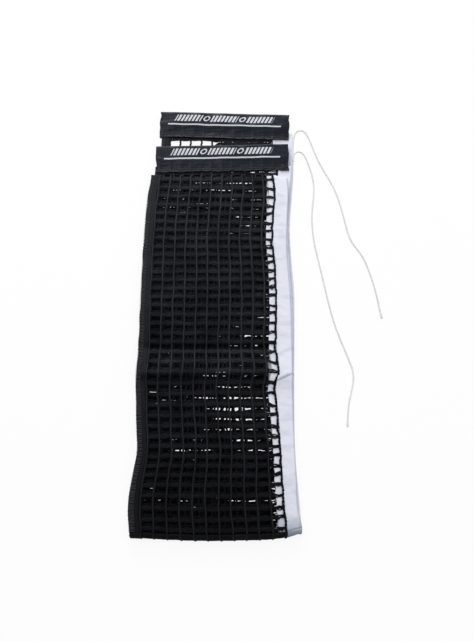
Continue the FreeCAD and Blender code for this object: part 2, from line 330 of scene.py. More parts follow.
class FoldedNet:
    """The strip's sizes, taken from the frame, and the way from flat cloth to folded cloth."""

    RUNG_PITCH = 9.45
    WALES = 11
    CHANNEL_RADIUS = 1.25
    CORD_DIAMETER = 1.6
    RUNG_FROM = 5.0
    RIDGE_SLANT = 0.032
    RIDGE_X = -14
    WALE_INSET = 0.7
    PAIRS = {Turn.OUTER: (1, 4), Turn.INNER: (2, 3)}
    LAYERS = {
        1: NetLayer(
            chains_up=False, sway=2.6, rung_shift=4.7,
            edge=Curve((
                (-224, 1.2), (-150, -1.8), (-90, -0.6), (-20, 1.9), (8, 2.6), (45, 0.8), (80, 0.1),
                (112, 3.0), (145, 6.0), (195, 7.0),
            )),
            border=Curve((
                (-224, 3.8), (-150, 0.2), (-90, -1.0), (0, 1.0), (80, 0.0), (145, 6.0), (195, 7.2),
            )),
            hem=Curve((
                (-224, 0.5), (-178, 0.3), (-150, 3.6), (-100, 0.4), (60, 0.8), (140, 7.0), (195, 10.4),
            )),
        ),
        2: NetLayer(
            chains_up=True, sway=-3.6, rung_shift=-2.4,
            edge=Curve((
                (-224, 0.8), (-150, -2.2), (-90, -1.4), (-20, 0.6), (45, -0.6), (80, -1.4), (112, 1.2),
                (150, 4.8), (195, 5.4),
            )),
            border=Curve((
                (-224, 3.4), (-150, -0.4), (-90, -2.2), (0, 0.4), (80, -1.4), (150, 4.8), (195, 5.4),
            )),
            hem=Curve((
                (-224, 0.8), (-178, 0.2), (-150, 3.0), (-100, 0.0), (60, 0.4), (140, 5.2), (195, 6.6),
            )),
        ),
        3: NetLayer(
            chains_up=False, sway=5.4, rung_shift=2.4,
            edge=Curve((
                (-224, 1.0), (-150, -2.4), (-90, -2.4), (-10, -0.6), (46, -2.4), (80, -2.6),
                (140, -1.3),
            )),
            border=Curve(((-224, 3.2), (-150, 0.4), (-100, -2.2), (0, 0.2), (60, -1.8), (140, -0.8))),
            hem=Curve((
                (-224, 0.6), (-178, 0.2), (-152, 3.0), (-100, -0.8), (0, -1.0), (80, -0.8), (140, 2.4),
            )),
        ),
        4: NetLayer(
            chains_up=True, sway=0.0, rung_shift=0.0,
            edge=Curve((
                (-222, 1.4), (-204, -1.5), (-170, -2.2), (-125, -3.0), (-84, -2.7), (-24, -1.8),
                (4, -2.2), (54, -4.2), (90, -2.6), (122, -0.8), (140, -1.3),
            )),
            border=Curve((
                (-223, 4.1), (-195, 2.2), (-155, 0.6), (-112, -1.9), (-88, -2.8), (-78, 0.0),
                (-55, -1.8), (-10, -0.2), (35, -0.9), (62, -2.9), (93, -0.9), (122, 1.0), (140, -0.8),
            )),
            hem=Curve((
                (-224, 0.5), (-197, -1.5), (-178, -0.3), (-153, 3.4), (-125, 1.7), (-92, -1.0),
                (-83, -1.6), (-60, -0.4), (-10, -1.5), (68, -1.5), (109, -0.4), (141, 2.5),
            )),
            lift=Curve((
                (-175, 0.0), (-150, 0.5), (-120, 0.1), (-88, 0.0), (-82, 1.5), (-74, 2.3), (-64, 1.5),
                (-54, 0.2), (-20, 0.4), (30, 0.0), (70, 0.5), (110, 0.0),
            )),
        ),
    }
    # How the crease's line and the far fold's line bow, by place across the net.
    NEAR_BOW = Curve(((0, 5.0), (16, 1.6), (60, -1.0), (95, -1.2), (150, 1.0)))
    FAR_BOW = Curve(((0, -3.6), (14, -0.6), (40, 0.0), (150, -0.4)))
    NEAR_FADE = 34.0
    FAR_FADE = 22.0

    def __init__(self) -> None:
        """Read the strip's sizes from the frame's nodes."""
        _, tape_high = (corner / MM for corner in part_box("tape_crease_outer"))
        hem_low, _ = (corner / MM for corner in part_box("hem_crease_outer"))
        self.edge_x = tape_high.x
        self.height = tape_high.x - hem_low.x
        self.crease_y = (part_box("hem_upper")[0] / MM).y
        heights = [self.middle(f"net_cord_layer_{number}").z for number in (1, 2)]
        self.pitch = heights[1] - heights[0]
        self.layer_z = {number: heights[0] + self.pitch * (number - 1) for number in self.LAYERS}
        cord_far = (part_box("net_cord_upper")[1] / MM).y
        self.fold_length = cord_far - self.CORD_DIAMETER / 2 - self.pitch / 2 - self.crease_y
        self.lengths = {number: self.far(f"wales_layer_{number}") for number in (1, 2)}
        self.lengths |= {3: self.fold_length, 4: self.fold_length}
        self.channel_ends = {number: self.far(f"net_cord_layer_{number}") for number in (1, 2)}
        self.border_s = self.edge_x - self.middle("border_yarn_crease_outer").x
        wales_low, _ = (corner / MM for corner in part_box("wales_crease_outer"))
        last = self.edge_x - wales_low.x - self.WALE_INSET
        self.wale_pitch = (last - self.border_s) / self.WALES
        self.wale_s = self.border_s + self.wale_pitch * np.arange(1, self.WALES + 1)
        self.radius = {Turn.OUTER: self.pitch * 1.5, Turn.INNER: self.pitch * 0.5}
        self.stack_z = self.layer_z[1] + self.radius[Turn.OUTER]

    def middle(self, node: str) -> Vector:
        """Middle of a node's box, in millimetres."""
        low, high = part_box(node)
        return (low + high) / 2 / MM

    def far(self, node: str) -> float:
        """How far a node reaches from the crease line, along its layer."""
        return (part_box(node)[1] / MM).y - self.crease_y

    def upper_length(self) -> float:
        """Length of the strip's upper half, from crease line to crease line."""
        return 2 * self.fold_length + math.pi * self.radius[Turn.INNER]

    def on_layer(self, number: int, run: np.ndarray) -> Stretch:
        """A stretch on one layer, at distances from the crease line."""
        on = Body.LOWER if number < 3 else Body.UPPER
        side = 1.0 if self.LAYERS[number].chains_up else -1.0
        flat = np.zeros_like(run, dtype=float)
        y, z = self.crease_y + run, flat + self.layer_z[number]
        return Stretch(f"layer_{number}", (number, number), on, run, y, z, flat, flat + side, flat)

    def round_crease(self, turn: Turn, run: np.ndarray) -> Stretch:
        """A stretch round a turn of the near crease, at distances from its lower layer's end."""
        radius, side = self.radius[turn], 1.0 if turn is Turn.OUTER else -1.0
        angle = run / radius
        y, z = -np.sin(angle), -np.cos(angle)
        middle = self.crease_y + radius * y, self.stack_z + radius * z
        high = rise(angle, 0, math.pi)
        return Stretch(turn.value, self.PAIRS[turn], turn, run, *middle, side * y, side * z, high)

    def through_fold(self, run: np.ndarray) -> Stretch:
        """The stretch along layer 3, round the far fold and back along layer 4."""
        radius = self.radius[Turn.INNER]
        angle = np.clip((run - self.fold_length) / radius, 0, math.pi)
        past = np.maximum(run - self.fold_length - math.pi * radius, 0)
        y = self.crease_y + np.minimum(run, self.fold_length) - past + radius * np.sin(angle)
        z = self.layer_z[3] + radius - radius * np.cos(angle)
        high = rise(angle, 0, math.pi)
        return Stretch("upper", (3, 4), Body.UPPER, run, y, z, np.sin(angle), -np.cos(angle), high)

    def place(self, at: Stretch, s: np.ndarray, h: np.ndarray) -> np.ndarray:
        """Points of the folded strip.

        Args:
            at: the stretch that they lie on.
            s: distance from the tape's edge.
            h: distance from the mid plane to the chains' side.

        Returns:
            The points, with the stretch's and the distances' common shape.
        """
        low, high = (self.LAYERS[number] for number in at.pair)
        stray = self.stray(low, at.y, s) * (1 - at.high) + self.stray(high, at.y, s) * at.high
        x = self.edge_x - s + stray
        slanted = at.y + self.RIDGE_SLANT * (x - self.RIDGE_X)
        lift = low.lift.at(slanted) * (1 - at.high) + high.lift.at(slanted) * at.high
        bow = self.NEAR_BOW.at(s) * np.exp(-np.maximum(at.y - self.crease_y, 0) / self.NEAR_FADE)
        fold_y = self.crease_y + self.fold_length
        if 3 in at.pair:
            bow = bow + self.FAR_BOW.at(s) * np.exp(-np.maximum(fold_y - at.y, 0) / self.FAR_FADE)
        y = at.y + at.out_y * h + bow
        z = at.z + at.out_z * h + lift
        return np.stack(np.broadcast_arrays(x, y, z), -1)

    def wound(
        self, at: Stretch, s: np.ndarray, h: float, turns: np.ndarray, plies: int, across: float, up: float
    ) -> np.ndarray:
        """Plies wound round a line of the strip.

        Args:
            at: the stretch that they follow.
            s: the line's distance from the tape's edge.
            h: its distance from the mid plane.
            turns: how often the plies have gone round at each place.
            plies: how many there are.
            across: how far they swing across the line.
            up: how far they swing away from the mid plane.

        Returns:
            One row of points for each ply.
        """
        lines = []
        for ply in range(plies):
            angle = math.tau * (turns + ply / plies)
            lines.append(self.place(at, s + across * np.cos(angle), h + up * np.sin(angle)))
        return np.stack(lines)

    def stray(self, layer: NetLayer, y: np.ndarray, s: np.ndarray) -> np.ndarray:
        """How far a point of a layer lies from its straight place, towards +X."""
        near = s / self.border_s
        beyond = (s - self.border_s) / (self.height - self.border_s)
        edge, border, hem = layer.edge.at(y), layer.border.at(y), layer.hem.at(y)
        inner = border + (hem - border) * beyond + layer.sway * np.sin(math.pi * np.clip(beyond, 0, 1)) ** 2
        return np.where(s < self.border_s, edge + (border - edge) * near, inner)

    def out(self, at: Stretch) -> np.ndarray:
        """Direction of the chains' side at each place of a stretch."""
        return np.stack([np.zeros_like(at.out_y), at.out_y, at.out_z], -1)


# ---- finishes -----------------------------------------------------------------------------------------


class NodeSheet:
    """Adds and links shader nodes in one tree."""

    def __init__(self, tree: bpy.types.NodeTree) -> None:
        """Work on the given tree."""
        self.tree = tree

    def node(self, kind: str, **inputs: object) -> bpy.types.Node:
        """Add a node and fill its inputs.

        Args:
            kind: the node's type name, without the shader prefix.
            inputs: value or output socket for each input, its spaces written as underscores.

        Returns:
            The new node.
        """
        made = self.tree.nodes.new(f"ShaderNode{kind}")
        for name, value in inputs.items():
            self.fill(made.inputs[name.replace("_", " ")], value)
        return made

    def fill(self, socket: bpy.types.NodeSocket, value: object) -> None:
        """Set a socket to a value, or link an output to it."""
        if isinstance(value, bpy.types.NodeSocket):
            self.tree.links.new(value, socket)
        else:
            socket.default_value = value

    def math(self, operation: str, first: object, second: object = 0.0) -> bpy.types.NodeSocket:
        """Output of a math node.

        Args:
            operation: the node's operation.
            first: its first value or socket.
            second: its second value or socket.

        Returns:
            The result's socket.
        """
        made = self.tree.nodes.new("ShaderNodeMath")
        made.operation = operation
        self.fill(made.inputs[0], first)
        self.fill(made.inputs[1], second)
        return made.outputs[0]

    def mix(self, share: object, first: object, second: object) -> bpy.types.NodeSocket:
        """Colour between two others."""
        made = self.tree.nodes.new("ShaderNodeMix")
        made.data_type = "RGBA"
        for name, value in (("Factor_Float", share), ("A_Color", first), ("B_Color", second)):
            socket = next(one for one in made.inputs if one.identifier == name)
            self.fill(socket, (*value, 1.0) if isinstance(value, tuple) and len(value) == 3 else value)
        return next(one for one in made.outputs if one.identifier == "Result_Color")

    def group(self, tree: bpy.types.NodeTree, **inputs: object) -> bpy.types.Node:
        """Place a node group and fill its inputs."""
        made = self.node("Group")
        made.node_tree = tree
        for name, value in inputs.items():
            self.fill(made.inputs[name.replace("_", " ")], value)
        return made

    def cloth(self) -> tuple[bpy.types.NodeSocket, ...]:
        """Place on the cloth map, in millimetres: as a vector, across and along."""
        uv = self.node("UVMap")
        uv.uv_map = FABRIC_MAP
        split = self.node("SeparateXYZ", Vector=uv.outputs[0])
        return uv.outputs[0], split.outputs[0], split.outputs[1]

    def ramp(
        self, value: object, start: float, end: float, high: float = 1.0, low: float = 0.0
    ) -> bpy.types.NodeSocket:
        """Straight step from low at start to high at end."""
        made = self.node("MapRange", Value=value, From_Min=start, From_Max=end, To_Min=low, To_Max=high)
        return made.outputs[0]

    def apart(self, value: object, middle: object) -> bpy.types.NodeSocket:
        """How far a value lies from a middle, on either side."""
        return self.math("ABSOLUTE", self.math("SUBTRACT", value, middle))

    def between(self, value: object, low: float, high: float) -> bpy.types.NodeSocket:
        """1 where a value lies between two limits, and 0 elsewhere."""
        return self.math("MULTIPLY", self.math("GREATER_THAN", value, low), self.math("LESS_THAN", value, high))

    def product(self, first: object, *others: object) -> bpy.types.NodeSocket:
        """All values multiplied."""
        for value in others:
            first = self.math("MULTIPLY", first, value)
        return first


@dataclass(frozen=True)
class PrintLayout:
    """The sleeves' plain print, in millimetres on the film.  gap is each group's empty share at either end."""

    bars_at: float = 44.8
    half_height: float = 4.1
    slant: float = 0.45
    margin: float = 12.0
    groups: float = 3.0
    gap: float = 0.14
    pitch: float = 4.1
    bar: float = 0.62
    ring: tuple[float, float] = (2.1, 3.5)
    stripe_at: float = 53.0
    stripe_half: float = 0.85
    stripe_margin: float = 9.0


class SharedGroups:
    """Shader node groups that several finishes use, each built once."""

    PRINT = PrintLayout()

    def __init__(self) -> None:
        """Build the groups."""
        self.mottle = self.build_mottle()
        self.ply = self.build_ply()
        self.weave = self.build_weave()
        self.print_bars = self.build_print_bars()
        self.ridge_light_and_fade = self.build_ridge_light_and_fade()

    @staticmethod
    def start(name: str, inputs: dict[str, float], outputs: tuple[str, ...]) -> tuple[NodeSheet, dict, dict]:
        """Open a group.

        Args:
            name: the group's name.
            inputs: its number inputs with their usual values.
            outputs: its number outputs.

        Returns:
            The sheet to build on, the input sockets by name and the output sockets by name.
        """
        tree = bpy.data.node_groups.new(name, "ShaderNodeTree")
        for label, usual in inputs.items():
            socket = tree.interface.new_socket(label, in_out="INPUT", socket_type="NodeSocketFloat")
            socket.default_value = usual
        for label in outputs:
            tree.interface.new_socket(label, in_out="OUTPUT", socket_type="NodeSocketFloat")
        entry, leave = tree.nodes.new("NodeGroupInput"), tree.nodes.new("NodeGroupOutput")
        sockets = {label: entry.outputs[label] for label in inputs}
        return NodeSheet(tree), sockets, {label: leave.inputs[label] for label in outputs}

    def build_mottle(self) -> bpy.types.NodeTree:
        """Uneven shade over the object: a slow change and a fine one."""
        sheet, given, wanted = self.start("mottle", {"Slow Scale": 30.0, "Fine Scale": 900.0}, ("Slow", "Fine"))
        places = sheet.node("TexCoord").outputs["Object"]
        for label, detail in (("Slow", 3.0), ("Fine", 2.0)):
            noise = sheet.node("TexNoise", Vector=places, Scale=given[f"{label} Scale"], Detail=detail)
            sheet.fill(wanted[label], noise.outputs[0])
        return sheet.tree

    def build_ply(self) -> bpy.types.NodeTree:
        """Twisted fibres of a yarn: ridges that wind round it, broken up by noise."""
        sheet, given, wanted = self.start("ply", {"Pitch": 1.6, "Fuzz": 0.5}, ("Height",))
        cloth, across, along = sheet.cloth()
        turns = sheet.math("DIVIDE", sheet.math("ADD", along, across), given["Pitch"])
        ridges = sheet.product(sheet.math("SINE", sheet.math("MULTIPLY", turns, math.tau)), 0.35)
        noise = sheet.node("TexNoise", Vector=cloth, Scale=3.0, Detail=4.0)
        fuzz = sheet.product(sheet.math("SUBTRACT", noise.outputs[0], 0.5), given["Fuzz"])
        sheet.fill(wanted["Height"], sheet.math("ADD", sheet.math("ADD", ridges, 0.5), fuzz))
        return sheet.tree

    def build_weave(self) -> bpy.types.NodeTree:
        """Plain weave: threads that pass over and under one another in turn."""
        sheet, given, wanted = self.start("weave", {"Across": 0.5, "Along": 0.5}, ("Height",))
        _, across, along = sheet.cloth()
        u, v = sheet.math("DIVIDE", across, given["Across"]), sheet.math("DIVIDE", along, given["Along"])
        warp, weft = (sheet.math("ABSOLUTE", sheet.math("SINE", sheet.product(one, math.pi))) for one in (u, v))
        cells = sheet.math("ADD", sheet.math("FLOOR", u), sheet.math("FLOOR", v))
        over = sheet.math("GREATER_THAN", sheet.math("PINGPONG", cells, 1.0), 0.5)
        under = sheet.math("SUBTRACT", 1.0, over)
        top = sheet.math("MAXIMUM", sheet.product(warp, over), sheet.product(weft, under))
        rest = sheet.product(sheet.math("MAXIMUM", warp, weft), 0.4)
        sheet.fill(wanted["Height"], sheet.math("MAXIMUM", top, rest))
        return sheet.tree

    def build_ridge_light_and_fade(self) -> bpy.types.NodeTree:
        """Share of its colour that dark cloth keeps against DEEPEST: least at the near crease and rising
        towards the far fold, with a painted highlight on the ridge band and a painted shadow line on either
        side of it.
        """
        sheet, given, wanted = self.start("ridge_light_and_fade", {"Fold": -0.066, "Half": 0.0125}, ("Kept",))
        y = sheet.node("SeparateXYZ", Vector=sheet.node("TexCoord").outputs["Object"]).outputs[1]
        # Darker towards the near crease.
        run = sheet.ramp(y, -0.222, 0.125, 1.0, 0.24)
        # Painted highlight on the ridge band, and a painted shadow line 3.5 mm beyond either side of it.
        past = sheet.math("SUBTRACT", sheet.apart(y, given["Fold"]), given["Half"])
        band = sheet.ramp(past, 0.001, -0.002, 0.3)
        line = sheet.ramp(sheet.apart(past, 0.0035), 0.005, 0.0015, 0.5)
        kept = sheet.product(sheet.math("ADD", run, band), sheet.math("SUBTRACT", 1.0, line))
        sheet.fill(wanted["Kept"], sheet.math("MINIMUM", kept, 1.0))
        return sheet.tree

    def build_print_bars(self) -> bpy.types.NodeTree:
        """Plain print of a sleeve: slanted bars in groups, rings between the groups and one stripe below."""
        sheet, given, wanted = self.start("print_bars", {"Length": 145.0}, ("Ink",))
        look = self.PRINT
        _, depth, length = sheet.cloth()
        off = sheet.math("SUBTRACT", depth, look.bars_at)
        slanted = sheet.math("ADD", length, sheet.product(off, look.slant))
        group = sheet.math("DIVIDE", sheet.math("SUBTRACT", given["Length"], 2 * look.margin), look.groups)
        inside = sheet.math("DIVIDE", sheet.math("SUBTRACT", slanted, look.margin), group)
        in_row = sheet.between(inside, 0.0, look.groups)
        in_group = sheet.between(sheet.math("FRACT", inside), look.gap, 1 - look.gap)
        bar = sheet.math("LESS_THAN", sheet.math("FRACT", sheet.math("DIVIDE", slanted, look.pitch)), look.bar)
        tall = sheet.math("LESS_THAN", sheet.math("ABSOLUTE", off), look.half_height)
        bars = sheet.product(in_row, in_group, bar, tall)
        nearest = sheet.product(sheet.math("PINGPONG", inside, 0.5), group)
        squares = (sheet.math("POWER", one, 2.0) for one in (nearest, off))
        reach = sheet.math("SQRT", sheet.math("ADD", *squares))
        ring = sheet.product(sheet.between(reach, *look.ring), sheet.between(inside, 0.4, look.groups - 0.4))
        middle = sheet.product(given["Length"], 0.5)
        short = sheet.math("SUBTRACT", middle, look.stripe_margin)
        on_stripe = sheet.math("LESS_THAN", sheet.apart(length, middle), short)
        stripe = sheet.product(
            sheet.math("LESS_THAN", sheet.apart(depth, look.stripe_at), look.stripe_half), on_stripe
        )
        sheet.fill(wanted["Ink"], sheet.math("MAXIMUM", sheet.math("MAXIMUM", bars, ring), stripe))
        return sheet.tree


# Near black that dark cloth is mixed towards: towards the near crease and in the painted shadow lines beside
# the ridge.
DEEPEST: Color = (0.0008, 0.0008, 0.0012)


@dataclass(frozen=True)
class Finish:
    """What every material of the net has in common."""

    name: str
    dark: Color
    light: Color
    roughness: float
    gloss: float = 0.15
    # When set, the colour is mixed towards DEEPEST: darker towards the near crease, with a painted highlight on
    # the ridge and painted shadow lines beside it.
    folded: bool = False

    def build(self, groups: SharedGroups) -> bpy.types.Material:
        """Make the material.

        Args:
            groups: the shared shader groups.

        Returns:
            The new material.
        """
        made = bpy.data.materials.new(self.name)
        made.use_nodes = True
        sheet = NodeSheet(made.node_tree)
        shader = made.node_tree.nodes["Principled BSDF"]
        shader.inputs["Roughness"].default_value = self.roughness
        shader.inputs["Specular IOR Level"].default_value = self.gloss
        self.dress(sheet, shader, groups)
        return made

    def dress(self, sheet: NodeSheet, shader: bpy.types.Node, groups: SharedGroups) -> None:
        """Add the finish's own nodes."""
        raise NotImplementedError

    def paint(self, sheet: NodeSheet, shader: bpy.types.Node, groups: SharedGroups, share: object) -> None:
        """Fill the base colour: from dark to light by a share, and, where folded is set, mixed towards DEEPEST
        by the shared group: darker towards the near crease, with a painted highlight on the ridge and painted
        shadow lines beside it.
        """
        color = sheet.mix(share, self.dark, self.light)
        if self.folded:
            color = sheet.mix(sheet.group(groups.ridge_light_and_fade).outputs["Kept"], DEEPEST, color)
        sheet.fill(shader.inputs["Base Color"], color)


@dataclass(frozen=True)
class YarnFinish(Finish):
    """Twisted fibres."""

    ply_pitch: float = 1.6
    fuzz: float = 0.6
    depth: float = 0.12

    def dress(self, sheet: NodeSheet, shader: bpy.types.Node, groups: SharedGroups) -> None:
        """Colour by ply and by place, and a bump for the fibres."""
        ply = sheet.group(groups.ply, Pitch=self.ply_pitch, Fuzz=self.fuzz)
        mottle = sheet.group(groups.mottle, Slow_Scale=45.0, Fine_Scale=950.0)
        worn = sheet.product(mottle.outputs["Slow"], mottle.outputs["Fine"], 3.6)
        share = sheet.product(sheet.math("POWER", ply.outputs["Height"], 0.8), worn)
        self.paint(sheet, shader, groups, share)
        bump = sheet.node("Bump", Strength=0.8, Distance=self.depth * MM, Height=ply.outputs["Height"])
        sheet.fill(shader.inputs["Normal"], bump.outputs[0])


@dataclass(frozen=True)
class WovenFinish(Finish):
    """Woven band."""

    across: float = 0.5
    along: float = 0.5
    depth: float = 0.08
    grain: float = 0.0

    def dress(self, sheet: NodeSheet, shader: bpy.types.Node, groups: SharedGroups) -> None:
        """Weave in colour and bump, and a slow change of shade."""
        weave = sheet.group(groups.weave, Across=self.across, Along=self.along)
        mottle = sheet.group(groups.mottle, Slow_Scale=38.0, Fine_Scale=1500.0)
        share = sheet.product(sheet.math("ADD", weave.outputs["Height"], mottle.outputs["Slow"]), 0.62)
        specks = sheet.product(sheet.math("SUBTRACT", mottle.outputs["Fine"], 0.5), self.grain)
        share = sheet.math("ADD", share, specks)
        self.paint(sheet, shader, groups, share)
        height = sheet.math("ADD", weave.outputs["Height"], mottle.outputs["Fine"])
        bump = sheet.node("Bump", Strength=0.7, Distance=self.depth * MM, Height=height)
        sheet.fill(shader.inputs["Normal"], bump.outputs[0])


@dataclass(frozen=True)
class TapeFinish(WovenFinish):
    """White woven tape, with painted shade in its creases, along its folded edge, at its fold over the ridge
    and towards the near crease.
    """

    # Painted shade towards the near crease, where the tape turns down away from the light: its colour, and
    # where it starts and ends along Y, in metres.
    near_crease_shade: Color = (0.2, 0.23, 0.31)
    near_crease_shade_from: float = -0.204
    near_crease_shade_to: float = -0.2225
    # Painted shade: its colour, the place across the tape of the shade line along the folded edge in
    # millimetres, and the fold line over the ridge: its offset, slant and the distance of a fainter second
    # line, in metres.
    shade: Color = (0.4, 0.44, 0.58)
    edge_at: float = 15.2
    line_at: float = 0.1088
    line_slant: float = 0.444
    line_apart: float = 0.0252

    def dress(self, sheet: NodeSheet, shader: bpy.types.Node, groups: SharedGroups) -> None:
        """The weave, then painted shade: soft cross creases, a line along the folded edge, a fold line over the
        ridge with a fainter one beside it, and a grey towards the near crease.
        """
        super().dress(sheet, shader, groups)
        unshaded = shader.inputs["Base Color"].links[0].from_socket
        # Painted shade in soft bands across the tape where it creases.
        _, across, along = sheet.cloth()
        drawn = sheet.node("CombineXYZ", X=sheet.product(across, 0.035), Y=sheet.product(along, 0.16))
        noise = sheet.node("TexNoise", Vector=drawn.outputs[0], Scale=1.0, Detail=3.0)
        crease = sheet.ramp(noise.outputs[0], 0.5, 0.72, 0.3)
        # Painted shade in a bluish line along the tape's folded edge.
        edge = sheet.ramp(sheet.apart(across, self.edge_at), 1.5, 0.4, 0.55)
        # Painted shadow along the tape's fold over the ridge, with a fainter second line beside it.
        split = sheet.node("SeparateXYZ", Vector=sheet.node("TexCoord").outputs["Object"])
        off = sheet.math("SUBTRACT", split.outputs[1], sheet.product(split.outputs[0], self.line_slant))
        off = sheet.math("ADD", off, self.line_at)
        line = sheet.ramp(sheet.math("ABSOLUTE", off), 0.0014, 0.0003, 0.85)
        soft = sheet.ramp(sheet.apart(off, self.line_apart), 0.0032, 0.0005, 0.32)
        for shade_mask in (crease, edge, line, soft):
            unshaded = sheet.mix(shade_mask, unshaded, self.shade)
        # Painted shade towards the near crease, its start wandering a little across the tape.
        mottle = sheet.group(groups.mottle, Slow_Scale=120.0, Fine_Scale=900.0)
        wander = sheet.product(sheet.math("SUBTRACT", mottle.outputs["Slow"], 0.5), 0.006)
        shade_mask = sheet.ramp(sheet.math("ADD", split.outputs[1], wander), self.near_crease_shade_from, self.near_crease_shade_to)
        sheet.fill(shader.inputs["Base Color"], sheet.mix(shade_mask, unshaded, self.near_crease_shade))


@dataclass(frozen=True)
class FilmFinish(Finish):
    """Glossy plastic film with a plain print."""

    ink: Color = (0.6, 0.63, 0.68)
    length: float = 145.0

    def dress(self, sheet: NodeSheet, shader: bpy.types.Node, groups: SharedGroups) -> None:
        """Film, print, faint scuffs and crinkles."""
        mottle = sheet.group(groups.mottle, Slow_Scale=60.0, Fine_Scale=700.0)
        film = sheet.mix(mottle.outputs["Slow"], self.dark, self.light)
        printed = sheet.group(groups.print_bars, Length=self.length)
        worn = sheet.math("GREATER_THAN", mottle.outputs["Fine"], 0.3)
        ink = sheet.product(printed.outputs["Ink"], worn)
        sheet.fill(shader.inputs["Base Color"], sheet.mix(ink, film, self.ink))
        rough = sheet.math("ADD", sheet.product(mottle.outputs["Fine"], 0.3), self.roughness - 0.15)
        sheet.fill(shader.inputs["Roughness"], sheet.math("ADD", rough, sheet.product(ink, 0.2)))
        height = sheet.math("ADD", mottle.outputs["Slow"], sheet.product(mottle.outputs["Fine"], 0.15))
        bump = sheet.node("Bump", Strength=0.5, Distance=0.5 * MM, Height=height)
        sheet.fill(shader.inputs["Normal"], bump.outputs[0])


class Finishes:
    """All materials of the net, built once."""

    def __init__(self) -> None:
        """Build them."""
        groups = SharedGroups()
        self.chain, self.cross, self.border, self.black_thread, self.white_thread, self.cord = (
            YarnFinish(*given, **extra).build(groups)
            for given, extra in (
                # These dark yarns, and the hem below, get the shared painted highlight and shadow lines at the
                # ridge, and darken towards the near crease.
                (("chain_yarn", (0.009, 0.01, 0.012), (0.058, 0.061, 0.072), 0.6, 0.1), {"folded": True}),
                (("cross_yarn", (0.001, 0.001, 0.002), (0.036, 0.038, 0.046), 0.85, 0.05), {"folded": True}),
                (("border_yarn", (0.002, 0.002, 0.005), (0.012, 0.013, 0.022), 0.75, 0.1), {"folded": True}),
                (("black_thread", (0.01, 0.01, 0.012), (0.07, 0.073, 0.08), 0.5, 0.3), {"ply_pitch": 0.8}),
                (("white_thread", (0.7, 0.72, 0.8), (0.86, 0.88, 0.94), 0.6), {"ply_pitch": 0.8}),
                (("net_cord", (0.7, 0.7, 0.7), (0.92, 0.92, 0.91), 0.7), {"ply_pitch": 0.9}),
            )
        )
        self.hem = WovenFinish(
            "hem_band", (0.001, 0.001, 0.002), (0.03, 0.031, 0.036), 0.75, 0.06, True,
            across=0.9, along=1.1, depth=0.3, grain=2.2,
        ).build(groups)
        self.tape = TapeFinish(
            "white_tape", (0.72, 0.74, 0.84), (0.84, 0.86, 0.95), 0.8, across=0.4, along=0.4
        ).build(groups)
        self.film = FilmFinish(
            "sleeve_film", (0.005, 0.0065, 0.011), (0.013, 0.016, 0.026), 0.3, 0.1
        ).build(groups)


# ---- sub-assemblies -----------------------------------------------------------------------------------


@dataclass
class SubAssembly:
    """A group of pieces that are made of the same strip."""

    net: FoldedNet
    finishes: Finishes

    def piece(
        self, name: str, skins: list[Skin], material: bpy.types.Material, slot: str, *nodes: str,
        on: Body | Turn, reach: float = 0.0,
    ) -> bpy.types.Object:
        """Make a piece that rides on one body, or, on a turn of the near crease, one whose place is baked into
        its mesh.

        Args:
            name: its name.
            skins: its shape.
            material: its finish.
            slot: not used.
            nodes: the frame's nodes that it stands for.
            on: the body or the turn.
            reach: not used.

        Returns:
            The piece.
        """
        made = skinned(name, skins, material)
        if isinstance(on, Body):
            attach(made, on.value)
        else:
            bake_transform(made)
        if nodes:
            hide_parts(*nodes)
        LOG.info("%s: %d faces", name, len(made.data.polygons))
        return made


